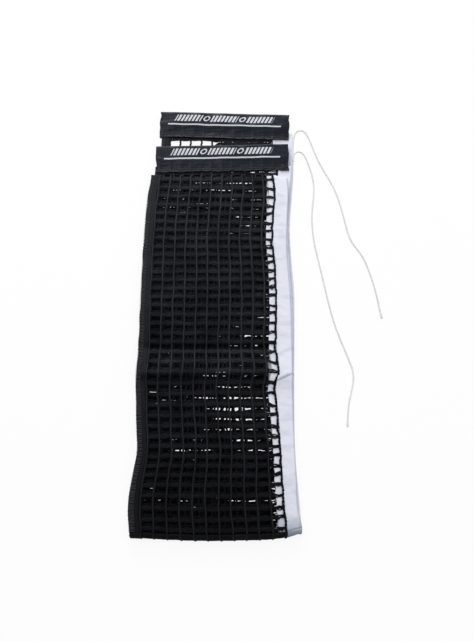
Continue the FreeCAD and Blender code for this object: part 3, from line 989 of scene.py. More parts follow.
@dataclass
class MeshYarns(SubAssembly):
    """The knitted chains, the border chain and the cross yarns."""

    chain_step: float = 0.75
    chain_twist: float = 4.4
    chain_ply: float = 0.58
    chain_spread: float = 0.25
    chain_height: float = 0.62
    border_ply: float = 1.3
    border_spread: float = 0.56
    border_meander: float = 0.5
    bed_width: float = 2.0
    rung_plies: int = 5
    rung_step: float = 1.7
    rung_ply: float = 0.95
    rung_thickness: float = 0.5
    rung_spread: float = 0.62
    rung_inset: float = 1.2
    slant_to: float = 28.5
    core_width: float = 3.25
    core_inset: float = 9.0

    # Where the folded layers slipped on one another: share, then middle and reach along the net and across it.
    BUNCHES = (
        (0.42, (-111, 18), (60, 28)),
        (0.22, (-152, 10), (110, 28)),
        (0.24, (-44, 16), (42, 20)),
        (0.24, (80, 26), (46, 24)),
        (0.4, (126, 5), (80, 45)),
    )
    # Across the net, the gap between the sleeves is open up to here, and then layer 1 closes.
    SLEEVE_GAP = (86, 94)
    SLIP = 0.0057
    SLIP_FROM = -190.0
    DRIFT = Curve((
        (-221, 0.0), (-211, -1.8), (-200, -2.4), (-182, -1.2), (-165, -3.2), (-150, -5.0), (-116, -5.6),
        (-62, -1.5), (-40, -1.2), (5, -1.2), (40, -3.0), (70, -4.1), (92, -4.0), (118, -1.6), (140, 0.0),
    ))

    def build(self) -> None:
        """Make all yarns of the mesh."""
        net, step = self.net, self.chain_step
        loose = {}
        for number in (1, 2):
            loose[number] = self.lay(net.on_layer(number, np.arange(0, net.lengths[number], step)))
        loose[4] = self.lay(net.through_fold(np.arange(0, net.upper_length(), step)))
        loose[3] = []
        for turn in Turn:
            length = math.pi * net.radius[turn]
            loose[3] += self.lay(net.round_crease(turn, np.linspace(0, length, 2 * round(length / step) + 1)))
        loose[3].append(self.crease_rung(Turn.OUTER, 2.4, 11, "rung_crease_outer"))
        loose[3].append(self.crease_rung(Turn.INNER, 1.6, 6))
        for number in net.LAYERS:
            self.declare(number, self.rungs(number), loose[number])

    def declare(self, number: int, rungs: bpy.types.Object, others: list[bpy.types.Object]) -> None:
        """Take one layer's pieces; nothing is done with them."""

    def lay(self, at: Stretch) -> list[bpy.types.Object]:
        """Lay the plain chains, their loops and the border chain along a stretch.

        Args:
            at: the stretch.

        Returns:
            The pieces.
        """
        net, out, made = self.net, self.net.out(at), []
        parts = np.array_split(np.arange(net.WALES), 3 if at.on is Body.UPPER else 1)
        for index, wales in enumerate(parts):
            strands = np.concatenate([self.chain(at, int(wale)) for wale in wales])
            skin = yarn(strands, out, self.chain_ply, self.chain_ply * 0.75, 4)
            label = f"chains_{at.name}" + (f"_{'abc'[index]}" if len(parts) > 1 else "")
            made.append((label, skin, self.finishes.chain, "wales"))
        beds = np.stack([self.bed(at, wale) for wale in range(net.WALES)])
        bed, border = yarn(beds, out, self.bed_width, 0.5, 4), yarn(self.border(at), out, self.border_ply, 0.8)
        made.append((f"chain_loops_{at.name}", bed, self.finishes.cross, "wales"))
        made.append((f"border_chain_{at.name}", border, self.finishes.border, "border_yarn"))
        return [
            self.piece(label, [skin], finish, "mesh", f"{node}_{at.name}", on=at.on, reach=1.1)
            for label, skin, finish, node in made
        ]

    def stray(self, at: Stretch, wale: int) -> np.ndarray:
        """How far a chain wanders across the net."""
        return 0.35 * ripple(40 + at.pair[0], 38.0, at.run, np.full_like(at.run, wale * 90.0))

    def bed(self, at: Stretch, wale: int) -> np.ndarray:
        """The dark loops under one chain, as one line."""
        loops = 0.3 * np.sin(math.tau * at.run / self.chain_twist + wale)
        loops = loops + 0.2 * ripple(45, 6.0, at.run + 50.0 * wale)
        return self.net.place(at, self.net.wale_s[wale] + self.stray(at, wale) + loops, 0.16 + 0 * at.run)

    def chain(self, at: Stretch, wale: int) -> np.ndarray:
        """The two plies of one knitted chain, wound round each other."""
        s = self.net.wale_s[wale] + self.stray(at, wale)
        turns = at.run / self.chain_twist + 0.31 * wale
        return self.net.wound(at, s, self.chain_height, turns, 2, self.chain_spread, 0.17)

    def border(self, at: Stretch) -> np.ndarray:
        """The border chain's two plies, which kink a little at each cross yarn."""
        kink = np.abs(((at.run / self.net.RUNG_PITCH) % 1) - 0.5) * 2
        stray = self.border_meander * (kink - 0.5) + 0.5 * ripple(60 + at.pair[0], 26.0, at.run)
        turns = at.run / (self.chain_twist * 1.5)
        s = self.net.border_s + stray
        return self.net.wound(at, s, self.chain_height, turns, 2, self.border_spread, 0.22)

    def shift(self, number: int, y: np.ndarray, s: np.ndarray) -> np.ndarray:
        """How far the cross yarns of a layer lie from their even places.

        The four layers' yarns mostly fall beside one another and close the mesh, and each lower layer is a
        little more stretched.  Where the layers slipped, the yarns bunch up and leave the mesh open.

        Args:
            number: the layer's number.
            y: even places along the net.
            s: distances from the tape's edge.

        Returns:
            The shift along the net at each point.
        """
        bunched = 0.3 * hump(y, -145, 18) * (0.6 + 0.4 * ripple(5, 60.0, s))
        for share, along, across in self.BUNCHES:
            bunched = bunched + share * hump(y, *along) * hump(s, *across)
        moved = self.net.LAYERS[number].rung_shift * (1 - np.clip(bunched, 0, 0.9)) + self.DRIFT.at(y)
        moved = moved + self.SLIP * (max(self.net.LAYERS) - number) * (y - self.SLIP_FROM)
        moved = moved + 0.3 * ripple(70 + number, 150.0, y, s)
        moved = moved + 0.016 * (s - 20) * rise(y, 10, 115) * (1 - rise(y, 126, 142))
        if number == 1:
            gap = 1 - rise(s, *self.SLEEVE_GAP)
            moved = moved - 2.8 * rise(y, 140, 168) + 5.5 * hump(y, 171.4, 4) * gap
            moved = moved + 1.8 * hump(y, 180.8, 4) * rise(s, 70, 130)
        return moved

    def rungs(self, number: int) -> bpy.types.Object:
        """Make the cross yarns of one layer: fine plies that part and cross between the chains, on a flat core.

        Args:
            number: the layer's number.

        Returns:
            The piece.
        """
        net, length = self.net, self.net.lengths[number]
        s = np.arange(net.RUNG_FROM, net.height - self.rung_inset, self.rung_step)[None]
        first = -1 if net.LAYERS[number].rung_shift > net.RUNG_PITCH * 0.45 else 0
        index = np.arange(first, int((length - 1.0) / net.RUNG_PITCH + 0.5))[:, None]
        even = net.RUNG_PITCH * (index + 0.5) + 0 * s
        run = even + self.shift(number, net.crease_y + even, s)
        run = run + 0.38 * ripple(80 + number, 36.0, s, index * 400.0)
        run = run + 1.3 * ripple(90 + number, 9.0, index * 40.0) * (1 - rise(s, net.border_s, self.slant_to))
        lines = []
        for ply in range(self.rung_plies):
            off, h = self.parting(ply, self.rung_plies, s, index, 100 + 10 * number)
            if number == 1:
                off = off * (1 + 0.6 * hump(net.crease_y + even, 176, 6) * (1 - rise(s, *self.SLEEVE_GAP)))
            lines.append(net.place(net.on_layer(number, np.clip(run + off, 0.5, length - 0.4)), s, h))
        plies = yarn(np.concatenate(lines), UP, self.rung_ply, self.rung_thickness, 4)
        inner = slice(*np.searchsorted(s[0], (self.slant_to, net.height - self.core_inset)))
        at = net.on_layer(number, np.clip(run[:, inner], 0.5, length - 0.4))
        core = yarn(net.place(at, s[:, inner], 0 * at.run), UP, self.core_width, 0.3, 4)
        name, node = f"cross_yarns_layer_{number}", f"rungs_layer_{number}"
        return self.piece(name, [plies, core], self.finishes.cross, "mesh", node, on=at.on)

    def parting(
        self, ply: int, plies: int, s: np.ndarray, index: np.ndarray, seed: int
    ) -> tuple[np.ndarray, np.ndarray]:
        """How the plies of a cross yarn lie beside one another.

        They part between the chains, cross here and there and lie flat inside the tape and the hem.

        Args:
            ply: the ply's number.
            plies: how many there are.
            s: distances from the tape's edge.
            index: numbers of the cross yarns.
            seed: picks one pattern for a layer.

        Returns:
            Each point's distance along the strip and from the mid plane.
        """
        net = self.net
        cell = np.abs(np.sin(math.pi * (s - net.border_s) / net.wale_pitch))
        loose = 1 + 0.22 * ripple(seed + 9, 24.0, s, index * 170.0)
        even = (ply - (plies - 1) / 2) * self.rung_spread * (0.62 + 0.5 * cell) * loose
        off = even + 0.42 * ripple(seed + ply, 8.0, s, index * 300.0) * (0.3 + 0.7 * cell)
        off = off + 0.5 * ripple(seed + ply, 7.0, s, index * 90.0) * hump(s, net.border_s + 5, 5)
        free = rise(s, net.border_s, net.border_s + 3) * (1 - rise(s, net.height - 13, net.height - 10))
        return off, (0.14 * ripple(seed + 40 + ply, 15.0, s, index * 200.0) - 0.04) * (0.2 + 0.8 * free)

    def crease_rung(self, turn: Turn, middle: float, plies: int, *nodes: str) -> bpy.types.Object:
        """A cross yarn on one of the crease's turns.

        Args:
            turn: the turn that it lies on.
            middle: angle round the turn of its middle.
            plies: how many plies the turn pushes together.
            nodes: the frame's nodes that it stands for.

        Returns:
            The piece.
        """
        net, radius = self.net, self.net.radius[turn]
        s = np.arange(net.RUNG_FROM, net.height - self.rung_inset, self.rung_step)
        lines, outs = [], []
        for ply in range(plies):
            off, h = self.parting(ply, plies, s, 0 * s, 190)
            angle = middle + 0.04 * ripple(7, 30.0, s) + 1.15 * off / radius
            at = net.round_crease(turn, radius * np.clip(angle, 0.06, 3.08))
            lines.append(net.place(at, s, h))
            outs.append(net.out(at))
        skin = yarn(np.stack(lines), np.stack(outs), 1.8 * self.rung_ply, self.rung_thickness, 4)
        return self.piece(
            f"cross_yarn_{turn.value}", [skin], self.finishes.cross, "mesh", *nodes, on=turn, reach=1.1
        )


@dataclass
class FoldedBand(SubAssembly):
    """A cloth band folded along the strip: the white tape or the black hem."""

    kind: str
    station: float = 1.8
    thickness: float = 0.3
    face: float = 0.5

    def profile(self) -> tuple[np.ndarray, np.ndarray]:
        """The band's middle line as distances from the tape's edge and from the mid plane."""
        raise NotImplementedError

    def wrinkles(
        self, run: np.ndarray, s: np.ndarray, h: np.ndarray, seed: int
    ) -> tuple[np.ndarray, np.ndarray]:
        """Change of the distances for creases and puckers."""
        raise NotImplementedError

    def finish(self) -> bpy.types.Material:
        """The band's material."""
        raise NotImplementedError

    def band(self, at: Stretch) -> bpy.types.Object:
        """Make the band on one stretch.

        Args:
            at: the stretch, with a second axis of length 1.

        Returns:
            The piece.
        """
        s, h = (values[None] for values in self.profile())
        ds, dh = self.wrinkles(at.run, s, h, at.pair[0])
        skin = shell(self.net.place(at, s + ds, h + dh), self.thickness)
        name, node = f"{self.kind}_cloth_{at.name}", f"{self.kind}_{at.name}"
        return self.piece(name, [skin], self.finish(), self.kind, node, on=at.on, reach=1.25)

    def build(self) -> None:
        """Make the band on the layers and round the crease."""
        net, bands, turns = self.net, [], []
        for number in (1, 2):
            run = np.arange(0, net.lengths[number], self.station)
            bands.append(self.band(net.on_layer(number, run[:, None])))
        upper = self.band(net.through_fold(self.upper_run()[:, None]))
        for turn in Turn:
            run = np.linspace(0, math.pi * net.radius[turn], 17)
            turns.append(self.band(net.round_crease(turn, run[:, None])))
        s, h = self.profile()
        width = float(np.hypot(np.diff(s), np.diff(h)).sum()) * MM
        flat = (width, net.upper_length() * MM)

    def upper_run(self) -> np.ndarray:
        """Places along the upper half, close together round the far fold."""
        net = self.net
        bend = math.pi * net.radius[Turn.INNER]
        before = np.arange(0, net.fold_length - self.station / 2, self.station)
        fold = net.fold_length + np.linspace(0, bend, 11)
        after = net.fold_length + bend + (net.fold_length - before[::-1])
        return np.concatenate([before, fold, after])


@dataclass
class Tape(FoldedBand):
    """White tape, folded round the cord: a narrow leaf on the chains' side and a wide one behind the mesh."""

    kind: str = "tape"
    narrow: float = 15.4
    wide: float = 22.8
    foot: float = 4.0
    fold_from: float = 141.5
    fold_slant: float = 0.45

    def profile(self) -> tuple[np.ndarray, np.ndarray]:
        """Narrow leaf, round channel, wide leaf."""
        radius = self.net.CHANNEL_RADIUS - self.thickness / 2
        middle = self.net.CHANNEL_RADIUS
        angles = np.radians(np.linspace(60, 300, 15))
        top = np.linspace(self.narrow, self.foot, 12)
        low = np.linspace(self.foot, self.wide, 17)
        s = np.concatenate([top, middle + radius * np.cos(angles), low])
        h = np.concatenate([0 * top + self.face, radius * np.sin(angles), 0 * low - self.face])
        return s, h

    def wrinkles(
        self, run: np.ndarray, s: np.ndarray, h: np.ndarray, seed: int
    ) -> tuple[np.ndarray, np.ndarray]:
        """Ragged leaf edges, soft cross creases and puckers along the seam."""
        leaf = rise(s, 2.5, 6.0)
        crease = 0.24 * ripple(200 + seed, 14.0, run + 0.7 * s, 0.25 * s)
        crease = crease + 0.1 * ripple(210 + seed, 5.0, run + 0.4 * s)
        pucker = 0.12 * np.sin(math.tau * run / 4.8 + ripple(220 + seed, 30.0, run)) * hump(s, 13.5, 2.5)
        ds = 0.35 * ripple(230 + seed, 17.0, run, h * 9.0) * rise(s, 6.0, 15.0)
        fold = 0.0
        if seed == 3:
            along = run - (self.net.upper_length() - self.fold_from) - self.fold_slant * (s - 3.5)
            fold = np.where(h > 0, 1.5 * hump(along, -1.8, 1.3) - 0.1 * hump(along, 0.2, 0.8), 0.0)
        dh = (crease + pucker) * leaf
        return ds, np.where(h > 0, np.maximum(dh + 0.04, 0) + fold * leaf, np.clip(dh, -0.22, 0.02))

    def finish(self) -> bpy.types.Material:
        """White weave."""
        return self.finishes.tape


@dataclass
class Hem(FoldedBand):
    """Black band folded over the cross yarns' ends."""

    kind: str = "hem"
    width: float = 9.0

    def profile(self) -> tuple[np.ndarray, np.ndarray]:
        """Chain-side leaf, round outer edge, leaf behind the mesh."""
        nose, edge = self.net.height - self.face - self.thickness / 2, self.net.height - self.width
        angles = np.radians(np.linspace(90, -90, 7))
        leaf = np.linspace(edge, nose, 8)[:-1]
        s = np.concatenate([leaf, nose + self.face * np.cos(angles), leaf[::-1]])
        h = np.concatenate([np.full(len(leaf), self.face), self.face * np.sin(angles), 0 * leaf - self.face])
        return s, h

    def wrinkles(
        self, run: np.ndarray, s: np.ndarray, h: np.ndarray, seed: int
    ) -> tuple[np.ndarray, np.ndarray]:
        """Scalloped edge and light ruffles."""
        ds = 0.22 * np.sin(math.tau * run / 3.4) * rise(s, 144.0, 149.0) + 0.4 * ripple(250 + seed, 20.0, run)
        dh = 0.14 * ripple(260 + seed, 8.0, run, s)
        return ds, dh

    def finish(self) -> bpy.types.Material:
        """Black weave."""
        return self.finishes.hem


@dataclass
class Stitching(SubAssembly):
    """Overlock over the hem's outer edge and the seam that holds the tape."""

    overlock_pitch: float = 1.7
    overlock_turn: float = 0.35
    overlock_reach: float = 4.2
    thread: float = 0.42
    seam_pitch: float = 3.2
    seam_s: float = 13.4
    stitch: float = 0.72

    def build(self) -> None:
        """Make the threads on each layer."""
        net = self.net
        for number in (1, 2):
            self.sew(partial(net.on_layer, number), net.lengths[number], number)
        self.sew(net.through_fold, net.upper_length(), 3)

    def sew(self, way: Callable[[np.ndarray], Stretch], length: float, number: int) -> None:
        """Sew one length of the strip.

        Args:
            way: function from distances along the strip to a stretch.
            length: the strip's length there.
            number: the layer that it starts on.
        """
        net = self.net
        runs = np.arange(1.0, length - 1, self.overlock_pitch)
        angle = np.linspace(-1.0, 1.0, 11)[None]
        nose = net.height - 0.6
        past = np.maximum(np.abs(angle) - self.overlock_turn, 0) / (1 - self.overlock_turn)
        s = nose - self.overlock_reach * past + 0.75 * np.cos(angle * math.pi / 2)
        h = 0.85 * np.sin(np.clip(angle / self.overlock_turn, -1, 1) * math.pi / 2)
        jitter = 0.25 * ripple(300 + number, 2.5, runs[:, None])
        at = way(np.clip(runs[:, None] + 0.75 * angle + jitter, 0, runs[-1] + 0.9))
        lines = net.place(at, s + 0 * at.run, h + 0 * at.run)
        middle = net.place(at, np.full_like(at.run, nose - 2.0), 0 * at.run)
        overlock = yarn(lines, lines - middle, self.thread, self.thread, 4)
        self.piece(f"overlock_{at.name}", [overlock], self.finishes.black_thread, "hem", on=at.on)
        share = np.linspace(0, 1, 6)[None]
        at = way(np.arange(1.0, length - 3, self.seam_pitch)[:, None] + share * self.stitch * self.seam_pitch)
        h = 0.62 + 0.2 * np.sin(math.pi * share) + 0 * at.run
        seam = yarn(net.place(at, self.seam_s + 0.1 * ripple(310, 9.0, at.run), h), net.out(at), 0.4, 0.3, 4)
        self.piece(f"tape_seam_{at.name}", [seam], self.finishes.white_thread, "tape", on=at.on)


@dataclass
class CordInChannel(SubAssembly):
    """The net cord inside the tape, three plies laid together."""

    ply: float = 0.84
    turn_length: float = 5.0
    step: float = 1.1

    def build(self) -> None:
        """Make the hidden cord of each half and of the crease."""
        net, ways = self.net, []
        for number, end in net.channel_ends.items():
            ways.append(net.on_layer(number, np.linspace(0, end, round(end / self.step))))
        ways.append(net.through_fold(np.arange(0, net.upper_length(), self.step / 2)))
        ways += [net.round_crease(turn, np.linspace(0, math.pi * net.radius[turn], 25)) for turn in Turn]
        off = (net.CORD_DIAMETER - self.ply) / 2
        for at in ways:
            plies = net.wound(at, net.CHANNEL_RADIUS, 0.0, at.run / self.turn_length, 3, off, off)
            skin = yarn(plies, net.out(at), self.ply, self.ply, 4)
            name, node = f"cord_core_{at.name}", f"net_cord_{at.name}"
            self.piece(name, [skin], self.finishes.cord, "net_cord", node, on=at.on, reach=0.85)


@dataclass
class PostSleeve(SubAssembly):
    """Film sleeve: folded over the far edge, flat at the mouth where it is sewn to the net."""

    letter: str
    layer: int
    film: float = 0.35
    reach: float = 1.1
    depth: float = 32.0
    lip: float = 9.0
    shoulder: float = 15.0
    flat_top: float = 2.6
    station: float = 1.2
    seam_depth: float = 3.6
    stitch_pitch: float = 3.0
    stitch: float = 2.2
    fray_count: int = 70

    def __post_init__(self) -> None:
        """Read the sleeve's place from the frame."""
        low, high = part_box(f"sleeve_{self.letter}")
        self.low_z, self.high_z = low.z / MM, high.z / MM
        self.centre = np.array([(low.x + high.x) / 2, (low.y + high.y) / 2]) / MM
        mounts = frame["record"]["mounts"]
        pocket = next(mount for mount in mounts if mount["name"] == f"post_pocket_{self.letter}")
        self.tilt = math.remainder(math.atan2(pocket["axis"][1], pocket["axis"][0]), math.pi)
        self.length = pocket["dims"]["length_mm"]

    def points(self, along: np.ndarray, depth: np.ndarray, z: np.ndarray) -> np.ndarray:
        """Points given from the sleeve's left end, from its mouth and by height."""
        a, d = along - self.length / 2, depth - self.depth / 2
        cos, sin = math.cos(self.tilt), math.sin(self.tilt)
        x, y = self.centre[0] + a * cos - d * sin, self.centre[1] + a * sin + d * cos
        return np.stack(np.broadcast_arrays(x, y, z), -1)

    def profile(self) -> tuple[np.ndarray, np.ndarray, np.ndarray]:
        """The film's middle line: depth, height and 1 on the upper leaf."""
        half = self.film / 2
        bottom, top = self.low_z + half, self.high_z - half
        radius = (top - bottom) / 2
        bend = self.depth - half - radius
        under = np.linspace(0, bend, 20)[:-1]
        angles = np.radians(np.linspace(-90, 90, 13))
        over = np.linspace(bend, 0, 34)[1:]
        lip = bottom + self.flat_top
        fall = lip + (top - lip) * rise(over, self.lip - 2, self.shoulder + 2)
        depth = np.concatenate([under, bend + radius * np.cos(angles), over])
        z = np.concatenate([0 * under + bottom, bottom + radius + radius * np.sin(angles), fall])
        upper = np.concatenate([0 * under, rise(angles, 0, math.pi / 2), 0 * over + 1])
        depth += self.reach * rise(depth, 0.6 * self.depth, self.depth)
        return depth, z, upper

    def build(self) -> None:
        """Make the film, its seam and the threads at its mouth."""
        along = np.linspace(0, self.length, round(self.length / self.station) + 1)[:, None]
        depth, z, upper = (values[None] for values in self.profile())
        seed = 400 + self.layer
        mouth = 1 - rise(depth, 0.0, 4.0)
        frayed = 0.35 * ripple(seed, 3.0, along) + 0.5 * ripple(seed + 1, 24.0, along)
        margins = rise(along, self.length - 4, self.length) - 1 + rise(along, 0, 4)
        ends = 0.5 * ripple(seed + 2, 9.0, depth) * margins
        z = z + upper * self.relief(along, depth, seed)
        skin = shell(self.points(along + ends, depth + frayed * mouth, z), self.film)
        name, node = f"sleeve_{self.letter}_film", f"sleeve_{self.letter}"
        film = self.piece(name, [skin], self.finishes.film, "sleeve_film", node, on=Body.LOWER)
        flat = (self.length * MM, float(np.hypot(np.diff(depth[0]), np.diff(self.profile()[1])).sum()) * MM)
        self.seam(seed)
        self.frays(seed)

    def relief(self, along: np.ndarray, depth: np.ndarray, seed: int) -> np.ndarray:
        """Height of the upper leaf over its plain shape: the mesh pressed through it, dents and seam."""
        pressed = 1 - rise(depth, 10.0, 14.0)
        x = self.length - along
        chains = np.maximum(np.cos(math.tau * (x - 6.0) / self.net.wale_pitch), 0) ** 4
        rungs = np.maximum(np.cos(math.tau * depth / self.net.RUNG_PITCH), 0) ** 4
        mesh = 0.42 * np.maximum(chains, 0.8 * rungs) * pressed
        dents = 0.4 * ripple(seed + 3, 42.0, along, depth)
        dents = dents + 0.14 * ripple(seed + 6, 14.0, along, depth, waves=9)
        stitches = 0.6 + 0.4 * np.cos(math.tau * along / self.stitch_pitch)
        sewn = -0.35 * hump(depth, self.seam_depth, 0.8) * stitches
        return mesh + dents * rise(depth, 1.0, 8.0) + sewn

    def seam(self, seed: int) -> None:
        """Lockstitches along the mouth."""
        starts = np.arange(2.0, self.length - self.stitch_pitch, self.stitch_pitch)[:, None]
        share = np.linspace(0, 1, 6)[None]
        along = starts + self.stitch * share
        depth = self.seam_depth + 0.25 * ripple(seed + 5, 30.0, along)
        z = self.low_z + self.flat_top + self.film + 0.05 + 0.22 * np.sin(math.pi * share) + 0 * along
        skin = yarn(self.points(along, depth, z), UP, 0.5, 0.4, 4)
        name = f"sleeve_{self.letter}_seam"
        self.piece(name, [skin], self.finishes.black_thread, "sleeve_film", on=Body.LOWER)

    def frays(self, seed: int) -> None:
        """Cut yarn ends that stand out of the mouth."""
        rng, count = np.random.default_rng(seed), self.fray_count
        along = np.sort(rng.uniform(3, self.length - 9, count))[:, None]
        reach = rng.uniform(1.5, 4.5, count)[:, None]
        lean = rng.normal(0, 1.6, count)[:, None]
        share = np.linspace(0, 1, 7)[None]
        z = self.low_z + 1.3 + rng.uniform(-0.3, 0.6, count)[:, None] + 0 * share
        lines = self.points(along + lean * share**1.5, 1.0 - reach * share, z)
        skin = yarn(lines, UP, 0.45, 0.4, 4)
        self.piece(f"sleeve_{self.letter}_frays", [skin], self.finishes.cross, "mesh", on=Body.LOWER)


@dataclass
class LooseCord:
    """One loose end of the net cord, three plies that follow a smooth line.  Its route is in metres."""

    letter: str
    length: float
    route: tuple[tuple[float, float, float], ...]
    finishes: Finishes
    diameter: float = 0.0016
    ply: float = 0.00098
    turn_length: float = 0.005
    step: float = 0.0006
    splay: float = 0.006

    def centreline(self) -> np.ndarray:
        """Points of the route's spline, read from the evaluated curve."""
        curve = bpy.data.curves.new(f"route_{self.letter}", "CURVE")
        curve.dimensions = "3D"
        curve.resolution_u = 14
        spline = curve.splines.new("NURBS")
        spline.points.add(len(self.route) - 1)
        for point, place in zip(spline.points, self.route):
            point.co = (*place, 1.0)
        spline.order_u = 3
        spline.use_endpoint_u = True
        holder = shown(curve.name, curve)
        line = bpy.data.meshes.new_from_object(holder)
        points = np.array([vertex.co for vertex in line.vertices])
        bpy.data.objects.remove(holder)
        bpy.data.meshes.remove(line)
        return points

    def build(self) -> None:
        points = self.centreline()
        run = lengths(points[None])
        even = np.linspace(0, run[-1], round(run[-1] / self.step))
        line = np.stack([np.interp(even, run, points[:, axis]) for axis in range(3)], -1)
        ahead = unit(np.gradient(line, axis=0))
        across = unit(np.cross(ahead, UP))
        up = np.cross(across, ahead)
        loose = 1 + 0.9 * rise(even, run[-1] - self.splay, run[-1])
        off = (self.diameter - self.ply) / 2 * loose
        plies = []
        for ply in range(3):
            angle = math.tau * (even / self.turn_length + ply / 3)
            plies.append(line + across * (off * np.cos(angle))[:, None] + up * (off * np.sin(angle))[:, None])
        lines = np.stack(plies)
        lines[..., 2] = np.maximum(lines[..., 2], self.ply / 2)
        skin = yarn(lines / MM, UP, self.ply / MM, self.ply / MM, 6)
        piece = skinned(f"loose_cord_{self.letter}", [skin], self.finishes.cord)
        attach(piece, Body.LOWER.value)
        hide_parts(f"cord_end_{self.letter}")
        LOG.info("%s: %.1f mm", piece.name, run[-1] / MM)


ROUTE_A = (
    (0.07775, 0.173545, 0.0013), (0.07775, 0.177945, 0.0013),
    (0.0780, 0.1836, 0.0010), (0.0788, 0.1904, 0.0008), (0.0799, 0.1972, 0.0008), (0.0819, 0.2015, 0.0008),
    (0.0858, 0.2038, 0.0008), (0.0904, 0.2030, 0.0008), (0.0934, 0.1995, 0.0008), (0.0963, 0.1927, 0.0008),
    (0.1000, 0.1798, 0.0008), (0.1056, 0.1627, 0.0008), (0.1128, 0.1464, 0.0008), (0.1201, 0.1316, 0.0008),
    (0.1253, 0.1138, 0.0008), (0.1290, 0.0944, 0.0008), (0.1320, 0.0761, 0.0008), (0.1359, 0.0638, 0.0008),
    (0.1422, 0.0547, 0.0008), (0.1477, 0.0445, 0.0008), (0.1518, 0.0302, 0.0008), (0.1555, 0.0149, 0.0008),
    (0.1581, -0.0029, 0.0008), (0.1602, -0.0197, 0.0008),
)
ROUTE_B = (
    (0.077486, 0.160545, 0.0042), (0.077486, 0.164945, 0.0042),
    (0.0790, 0.1710, 0.0040), (0.0820, 0.1738, 0.0034), (0.0860, 0.1740, 0.0027), (0.0894, 0.1714, 0.0019),
    (0.0919, 0.1666, 0.0012), (0.0943, 0.1586, 0.0008), (0.0976, 0.1465, 0.0008), (0.0993, 0.1306, 0.0008),
    (0.0974, 0.1134, 0.0008), (0.0950, 0.0958, 0.0008), (0.0952, 0.0786, 0.0008), (0.0964, 0.0627, 0.0008),
    (0.0992, 0.0462, 0.0008), (0.1023, 0.0293, 0.0008), (0.1054, 0.0107, 0.0008), (0.1086, -0.0074, 0.0008),
    (0.1128, -0.0270, 0.0008), (0.1188, -0.0457, 0.0008), (0.1251, -0.0633, 0.0008), (0.1285, -0.0752, 0.0008),
    (0.1273, -0.0866, 0.0008), (0.1234, -0.0989, 0.0008), (0.1204, -0.1128, 0.0008), (0.1194, -0.1268, 0.0008),
)


# ---- stage --------------------------------------------------------------------------------------------


@dataclass(frozen=True)
class SoftLight:
    """One large soft lamp that faces the net.  share is what it adds to the brightness of flat white."""

    name: str
    place: tuple[float, float, float]
    size: float
    share: float

    def build(self) -> None:
        """Make the lamp, its power worked out from its distance and slant."""
        reach = Vector(self.place)
        slant = reach.normalized().z
        lamp = bpy.data.lights.new(self.name, "AREA")
        lamp.size = self.size
        lamp.energy = self.share * math.pi**2 * reach.length_squared / slant
        made = shown(self.name, lamp)
        made.location = reach
        made.rotation_euler = reach.to_track_quat("Z", "Y").to_euler()


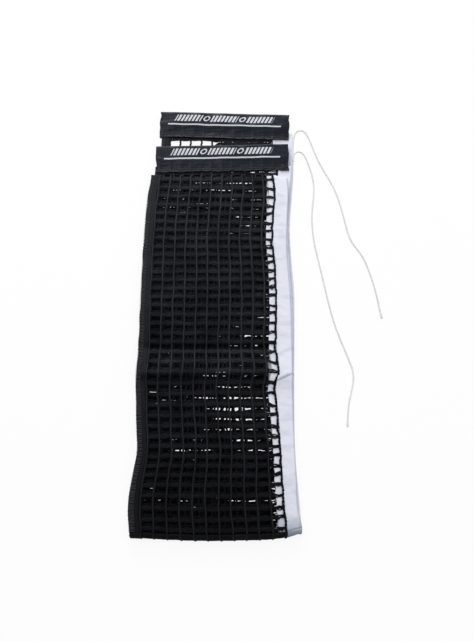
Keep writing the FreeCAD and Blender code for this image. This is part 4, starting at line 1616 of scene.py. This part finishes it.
@dataclass
class Stage:
    """Camera, floor, lamps and world."""

    eye: tuple[float, float, float] = (0.0155, -0.19255, 0.5196)
    target: tuple[float, float, float] = (0.0155, -0.02515, 0.0106)
    lens: float = 30.69
    floor_half: float = 8.0
    floor_z: float = -0.0002
    own_light: float = 0.88
    sky: float = 0.5

    def camera(self) -> None:
        """Place the camera over the net, a little towards the near crease."""
        data = bpy.data.cameras.new("camera")
        data.lens = self.lens
        data.sensor_width = 36.0
        data.clip_start = 0.01
        made = shown("camera", data)
        made.location = self.eye
        made.rotation_euler = (Vector(self.eye) - Vector(self.target)).to_track_quat("Z", "Y").to_euler()
        bpy.context.scene.camera = made

    def floor(self) -> None:
        """Lay a pale floor that keeps the shadow and looks white where nothing shades it."""
        half = self.floor_half
        square = [(-half, -half, 0), (half, -half, 0), (half, half, 0), (-half, half, 0)]
        mesh = bpy.data.meshes.new("floor")
        mesh.from_pydata(square, [], [(0, 1, 2, 3)])
        made = shown("floor", mesh)
        made.location.z = self.floor_z
        material = bpy.data.materials.new("floor")
        material.use_nodes = True
        tree = material.node_tree
        tree.nodes.clear()
        sheet = NodeSheet(tree)
        seen = self.seen(sheet)
        colour = sheet.mix(seen, (0.8, 0.8, 0.8), (0.97, 0.97, 0.97))
        matt = sheet.node("BsdfDiffuse", Color=colour)
        glow = sheet.node("Emission", Color=(1.0, 1.0, 1.0, 1.0), Strength=1.0)
        blend = tree.nodes.new("ShaderNodeMixShader")
        sheet.fill(blend.inputs[0], sheet.math("MULTIPLY", seen, self.own_light))
        sheet.fill(blend.inputs[1], matt.outputs[0])
        sheet.fill(blend.inputs[2], glow.outputs[0])
        sheet.node("OutputMaterial", Surface=blend.outputs[0])
        mesh.materials.append(material)

    @staticmethod
    def seen(sheet: NodeSheet) -> bpy.types.NodeSocket:
        """1 for rays that show the surface, also in gloss and through glass."""
        rays = sheet.node("LightPath").outputs
        shown = sheet.math("MAXIMUM", rays["Is Camera Ray"], rays["Is Glossy Ray"])
        return sheet.math("MAXIMUM", shown, rays["Is Transmission Ray"])

    def lights(self) -> None:
        """Light the net softly from above, mostly from the far left."""
        for lamp in (
            SoftLight("key", (-0.5, 0.6, 1.2), 0.8, 0.2),
            SoftLight("fill", (0.9, -0.3, 1.2), 1.0, 0.1),
            SoftLight("back", (-0.1, 1.7, 0.75), 1.0, 0.22),
        ):
            lamp.build()
        world = bpy.data.worlds.new("world")
        world.use_nodes = True
        sheet = NodeSheet(world.node_tree)
        back = world.node_tree.nodes["Background"]
        seen = self.seen(sheet)
        sheet.fill(back.inputs["Color"], (1.0, 1.0, 1.0, 1.0))
        extra = sheet.math("MULTIPLY", seen, 1.0 - self.sky)
        sheet.fill(back.inputs["Strength"], sheet.math("ADD", extra, self.sky))
        bpy.context.scene.world = world

    def build(self) -> None:
        """Set the whole stage."""
        self.camera()
        self.floor()
        self.lights()
        bpy.context.scene.view_settings.view_transform = "Standard"


def main() -> None:
    """Build the stage and every sub-assembly."""
    logging.basicConfig(level=logging.INFO, format="%(message)s")
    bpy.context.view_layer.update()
    Stage().build()
    net, finishes = FoldedNet(), Finishes()
    LooseCord("a", 0.2727, ROUTE_A, finishes).build()
    LooseCord("b", 0.3275, ROUTE_B, finishes).build()
    for assembly in (
        MeshYarns(net, finishes),
        Tape(net, finishes),
        Hem(net, finishes),
        Stitching(net, finishes),
        CordInChannel(net, finishes),
        PostSleeve(net, finishes, "a", 1),
        PostSleeve(net, finishes, "b", 2),
    ):
        assembly.build()


if __name__ == "__main__":
    main()
